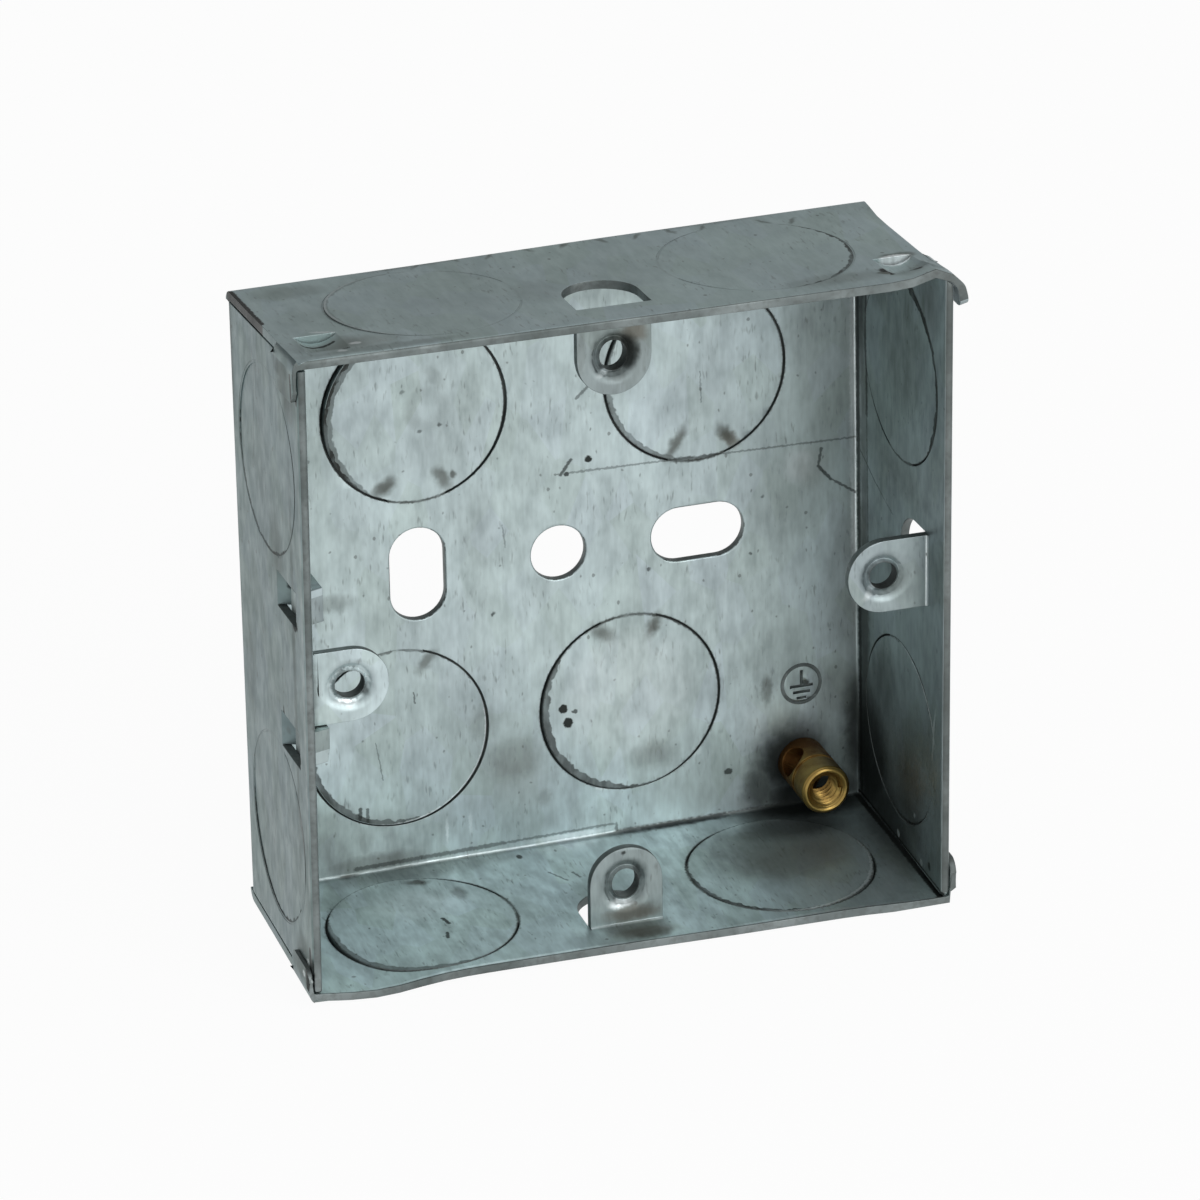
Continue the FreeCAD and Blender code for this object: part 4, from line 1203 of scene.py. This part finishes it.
def masks(tree, blank, marks):
    """How far each point is smudged, stained, shaded, scratched, lit by painted highlights and so on,
    all from 0 to 1.
    """
    loose = unsteady(tree, blank, 0.9, 0.8)
    torn = unsteady(tree, blank, 2.6, 0.30)
    table = {kind: marks.get(kind, []) for kind in KINDS}
    scratch_and_shade = lay(tree, stroke, torn, table["scratches_and_shade"])
    lips = lay(tree, band, blank, table["lips"], 0.0, torn)
    return {"smudge_and_shade": lay(tree, blot, loose, table["smudges_and_shade"]),
            "shade_and_stain": lay(tree, blot, loose, table["shade_and_stains"]),
            "rust": lay(tree, blot, loose, table["rust"]),
            "bright": lay(tree, blot, torn, table["bright"], lips),
            "scratch_and_shade": lay(tree, blot, torn, table["chips"], scratch_and_shade),
            "crush_and_shade": lay(tree, band, blank, table["rims"], 0.0, loose),
            "gap": lay(tree, ring, torn, table["gaps"])}


# %% Zinc: put together
DASH = (0.12, 0.13, 0.125)
RUST = (0.13, 0.107, 0.078)
# Smudges are dirt, and where they lie by the walls and in the pressed strips, painted shade.
SMUDGE_AND_SHADE = (0.10, 0.105, 0.09)
# Stains are mostly painted shade: in the corners, in the dishes, and round the terminal as its
# painted shadow.
SHADE_AND_STAIN = (0.016, 0.020, 0.018)
# Crushed knockout rims, with painted shade on their heavy side.
CRUSHED_AND_SHADE = (0.045, 0.050, 0.047)
# Rubbed places and painted highlights, on bends, edges and lips.
RUBBED_AND_HIGHLIGHT = (0.78, 0.84, 0.85)
# Dirt and painted shade in the gaps round the knockouts.
GAP_DIRT_AND_SHADE = (0.05, 0.055, 0.05)
# Scratches and chips, and lines of painted shade in slits and seams.
SCRATCH_AND_SHADE = (0.03, 0.035, 0.033)


def zinc_skin(name, marks):
    """The finish of one panel."""
    material = bpy.data.materials.new("zinc " + name)
    material.use_nodes = True
    tree = material.node_tree
    shader = tree.nodes["Principled BSDF"]
    blank = add(tree, "UVMap", uv_map="blank").outputs["UV"]
    colour, mottle = sheet_pattern(tree, blank, marks["tone"], marks.get("vary", 1.0))
    if "cast" in marks:
        colour = vector(tree, "MULTIPLY", colour, marks["cast"])
    mask = masks(tree, blank, marks)
    rag = levels(tree, mottle, 0.35, 0.60, 0.60, 1.0)
    colour = blend(tree, small_marks(tree, blank), colour, DASH)
    for kind, share, shade in (("rust", 0.75, RUST), ("smudge_and_shade", 0.80, SMUDGE_AND_SHADE),
                               ("shade_and_stain", 0.95, SHADE_AND_STAIN), ("crush_and_shade", rag, CRUSHED_AND_SHADE),
                               ("bright", rag, RUBBED_AND_HIGHLIGHT), ("gap", rag, GAP_DIRT_AND_SHADE)):
        colour = blend(tree, maths(tree, "MULTIPLY", mask[kind], share), colour, shade)
    colour = blend(tree, mask["scratch_and_shade"], colour, SCRATCH_AND_SHADE)
    tree.links.new(colour, shader.inputs["Base Color"])
    shader.inputs["Metallic"].default_value = marks.get("metallic", 0.88)
    marked = maths(tree, "MAXIMUM", maths(tree, "MAXIMUM", mask["smudge_and_shade"], mask["shade_and_stain"]),
                   mask["crush_and_shade"])
    rough = maths(tree, "ADD", levels(tree, mottle, 0.3, 0.7, 0.52, 0.40),
                  maths(tree, "MULTIPLY", marked, 0.22))
    rough = maths(tree, "SUBTRACT", rough, maths(tree, "MULTIPLY", mask["bright"], 0.12))
    tree.links.new(rough, shader.inputs["Roughness"])
    relief = maths(tree, "MULTIPLY", grain(tree, blank, 11, 15, detail=1, shift=90.0), 0.10)
    relief = maths(tree, "ADD", relief, maths(tree, "MULTIPLY", mottle, 0.008))
    bumped = add(tree, "Bump", {"Height": relief, "Distance": MM, "Strength": 1.0})
    tree.links.new(bumped.outputs[0], shader.inputs["Normal"])
    print(material.name, len(tree.nodes), "nodes")
    return material


# %% [markdown]
# ## Cut steel
#
# Where the tools cut the sheet its zinc stops. The cut is half smooth shear and half torn,
# and has turned a dull brown grey since.

# %% Cut steel
def bare_steel(name, dark, light, grime, metallic):
    """Bare torn steel, from its two greys and the grime in its pits."""
    material = bpy.data.materials.new(name)
    material.use_nodes = True
    tree = material.node_tree
    place = add(tree, "TexCoord").outputs["Object"]
    torn = add(tree, "TexNoise", {"Vector": place, "Scale": 1400.0, "Detail": 3.0}).outputs[0]
    patch = add(tree, "TexNoise", {"Vector": place, "Scale": 160.0, "Detail": 2.0}).outputs[0]
    colour = blend(tree, levels(tree, patch, 0.35, 0.7), dark, light)
    colour = blend(tree, levels(tree, torn, 0.45, 0.75, 0.0, 0.5), colour, grime)
    # Darker towards the right side of the box, beyond 32 mm.
    rightward = levels(tree, add(tree, "SeparateXYZ", {0: place}).outputs[0], 32 * MM, 35 * MM)
    colour = blend(tree, maths(tree, "MULTIPLY", rightward, 0.35), colour, grime)
    shader = tree.nodes["Principled BSDF"]
    tree.links.new(colour, shader.inputs["Base Color"])
    shader.inputs["Metallic"].default_value = metallic
    tree.links.new(levels(tree, patch, 0.3, 0.7, 0.62, 0.46), shader.inputs["Roughness"])
    bumped = add(tree, "Bump", {"Height": torn, "Distance": 0.03 * MM, "Strength": 1.0})
    tree.links.new(bumped.outputs[0], shader.inputs["Normal"])
    print(name, len(tree.nodes), "nodes")
    return material


cut_steel = bare_steel("cut steel", (0.135, 0.160, 0.158), (0.25, 0.285, 0.285),
                       (0.085, 0.092, 0.086), 0.8)
oily_steel = bare_steel("oily bore", (0.030, 0.034, 0.033), (0.10, 0.11, 0.105),
                        (0.02, 0.02, 0.018), 0.6)

# %% [markdown]
# ## Brass
#
# The terminal is turned from brass bar, so it has rings round its axis. It has tarnished
# to brown, and it is darker towards the back: partly tarnish, partly painted shade where it
# stands close to the back.

# %% Brass
CLEAN_BRASS = (0.37, 0.25, 0.075)
BROWN_BRASS = (0.15, 0.068, 0.02)
TOOL_STEP = 0.16 * MM
brass = bpy.data.materials.new("tarnished brass")
brass.use_nodes = True
tree = brass.node_tree
place = add(tree, "TexCoord").outputs["Object"]
split = add(tree, "SeparateXYZ", {0: place})
# Darker towards the back: tarnish, and painted shade where the post stands close to the back.
rearward = levels(tree, split.outputs["Y"], -9.0 * MM, -3.0 * MM)
blotch = add(tree, "TexNoise", {"Vector": place, "Scale": 700.0, "Detail": 3.0}).outputs["Fac"]
rings = maths(tree, "SINE", maths(tree, "MULTIPLY", split.outputs["Y"], 2 * math.pi / TOOL_STEP))
tarnish_and_shade = maths(tree, "ADD", rearward, levels(tree, blotch, 0.35, 0.7, -0.25, 0.35), clamp=True)
tone = blend(tree, tarnish_and_shade, CLEAN_BRASS, BROWN_BRASS)
brass_shader = tree.nodes["Principled BSDF"]
tree.links.new(tone, brass_shader.inputs["Base Color"])
brass_shader.inputs["Metallic"].default_value = 0.95
tree.links.new(levels(tree, tarnish_and_shade, 0, 1, 0.30, 0.55), brass_shader.inputs["Roughness"])
bumped = add(tree, "Bump", {"Height": rings, "Distance": 0.006 * MM, "Strength": 1.0})
tree.links.new(bumped.outputs[0], brass_shader.inputs["Normal"])
print(brass.name, len(tree.nodes), "nodes")

# %% [markdown]
# ## Dress the pieces
#
# The material slots are filled in the order of the panels' names, to which the faces were
# sorted above. The burrs borrow the skins of the top and the left, so that the rings do not
# show from outside.

# %% Dress the pieces
BARE = {"cut": cut_steel, "bore": oily_steel}
for skin in SKINS:
    box.data.materials.append(BARE[skin] if skin in BARE else zinc_skin(skin, PANELS[skin]))
for finish in (zinc_skin("sliding", PANELS["sliding"]), cut_steel, oily_steel):
    lug.data.materials.append(finish)
for finish in (oily_steel, box.data.materials[SKINS.index("top")],
               box.data.materials[SKINS.index("left")]):
    burr.data.materials.append(finish)
for piece in (terminal, ridge):
    piece.data.materials.append(brass)
for piece in (box, lug, burr, terminal, ridge):
    print(piece.name, len(piece.data.materials), "materials")

# %% [markdown]
# ## Floor and light
#
# The photograph has a pure white ground. The floor is white paper; to the camera, and to
# metal that mirrors it, most of it glows at a strength of 1, and the rest is lit paper, so
# that the box keeps a faint shadow. The room is brighter in front of the box than behind it,
# which is why the outside of its top looks darker than its back.

# %% Floor
FLOOR_LEVEL = -36.7 * MM
PAPER = (0.85, 0.85, 0.85, 1)
PAPER_GLOW = 0.95
floor_mesh = bpy.data.meshes.new("floor")
bm = bmesh.new()
bmesh.ops.create_grid(bm, x_segments=1, y_segments=1, size=3)
bmesh.ops.translate(bm, vec=(0, 0, FLOOR_LEVEL), verts=bm.verts)
bm.to_mesh(floor_mesh)
bm.free()
floor = bpy.data.objects.new("floor", floor_mesh)
bpy.context.scene.collection.objects.link(floor)
paper = bpy.data.materials.new("white paper")
paper.use_nodes = True
tree = paper.node_tree
lit = tree.nodes["Principled BSDF"]
lit.inputs["Base Color"].default_value = PAPER
lit.inputs["Roughness"].default_value = 0.9
glow = add(tree, "Emission")
path = add(tree, "LightPath")
seen = maths(tree, "MAXIMUM", path.outputs["Is Camera Ray"], path.outputs["Is Glossy Ray"])
seen = maths(tree, "MAXIMUM", seen, path.outputs["Is Transmission Ray"])
mix = add(tree, "MixShader", {0: maths(tree, "MULTIPLY", seen, PAPER_GLOW),
                              1: lit.outputs[0], 2: glow.outputs[0]})
tree.links.new(mix.outputs[0], tree.nodes["Material Output"].inputs["Surface"])
floor.data.materials.append(paper)
print("floor at", round(FLOOR_LEVEL / MM, 2), "mm")

# %% Room
FRONT_LIGHT = 1.0
BACK_LIGHT = 0.38
world = bpy.data.worlds.new("studio")
bpy.context.scene.world = world
world.use_nodes = True
tree = world.node_tree
tree.nodes.clear()
way = add(tree, "SeparateXYZ", {0: add(tree, "TexCoord").outputs["Generated"]})
strength = levels(tree, way.outputs["Y"], -0.8, 0.4, FRONT_LIGHT, BACK_LIGHT)
strength = maths(tree, "ADD", strength, maths(tree, "MULTIPLY", way.outputs["X"], 0.10))
room = add(tree, "Background", {"Strength": strength})
add(tree, "OutputWorld", {"Surface": room.outputs[0]})
print("room:", FRONT_LIGHT, "in front,", BACK_LIGHT, "behind")

# %% [markdown]
# One large soft lamp stands in front on the right, like a window. It gives the dishes and
# the worn rim their highlights, and leaves the colours as they are written.

# %% Window
WINDOW_PLACE = Vector((0.35, -0.9, 0.35))
WINDOW_SIZE = 0.7
WINDOW_WATTS = 4
window = bpy.data.objects.new("front window", bpy.data.lights.new("front window", "AREA"))
bpy.context.scene.collection.objects.link(window)
window.data.size = WINDOW_SIZE
window.data.energy = WINDOW_WATTS
window.location = WINDOW_PLACE
window.rotation_euler = (-WINDOW_PLACE).to_track_quat("-Z", "Y").to_euler()
bpy.context.scene.view_settings.view_transform = "Standard"
print(window.name, WINDOW_WATTS, "W")
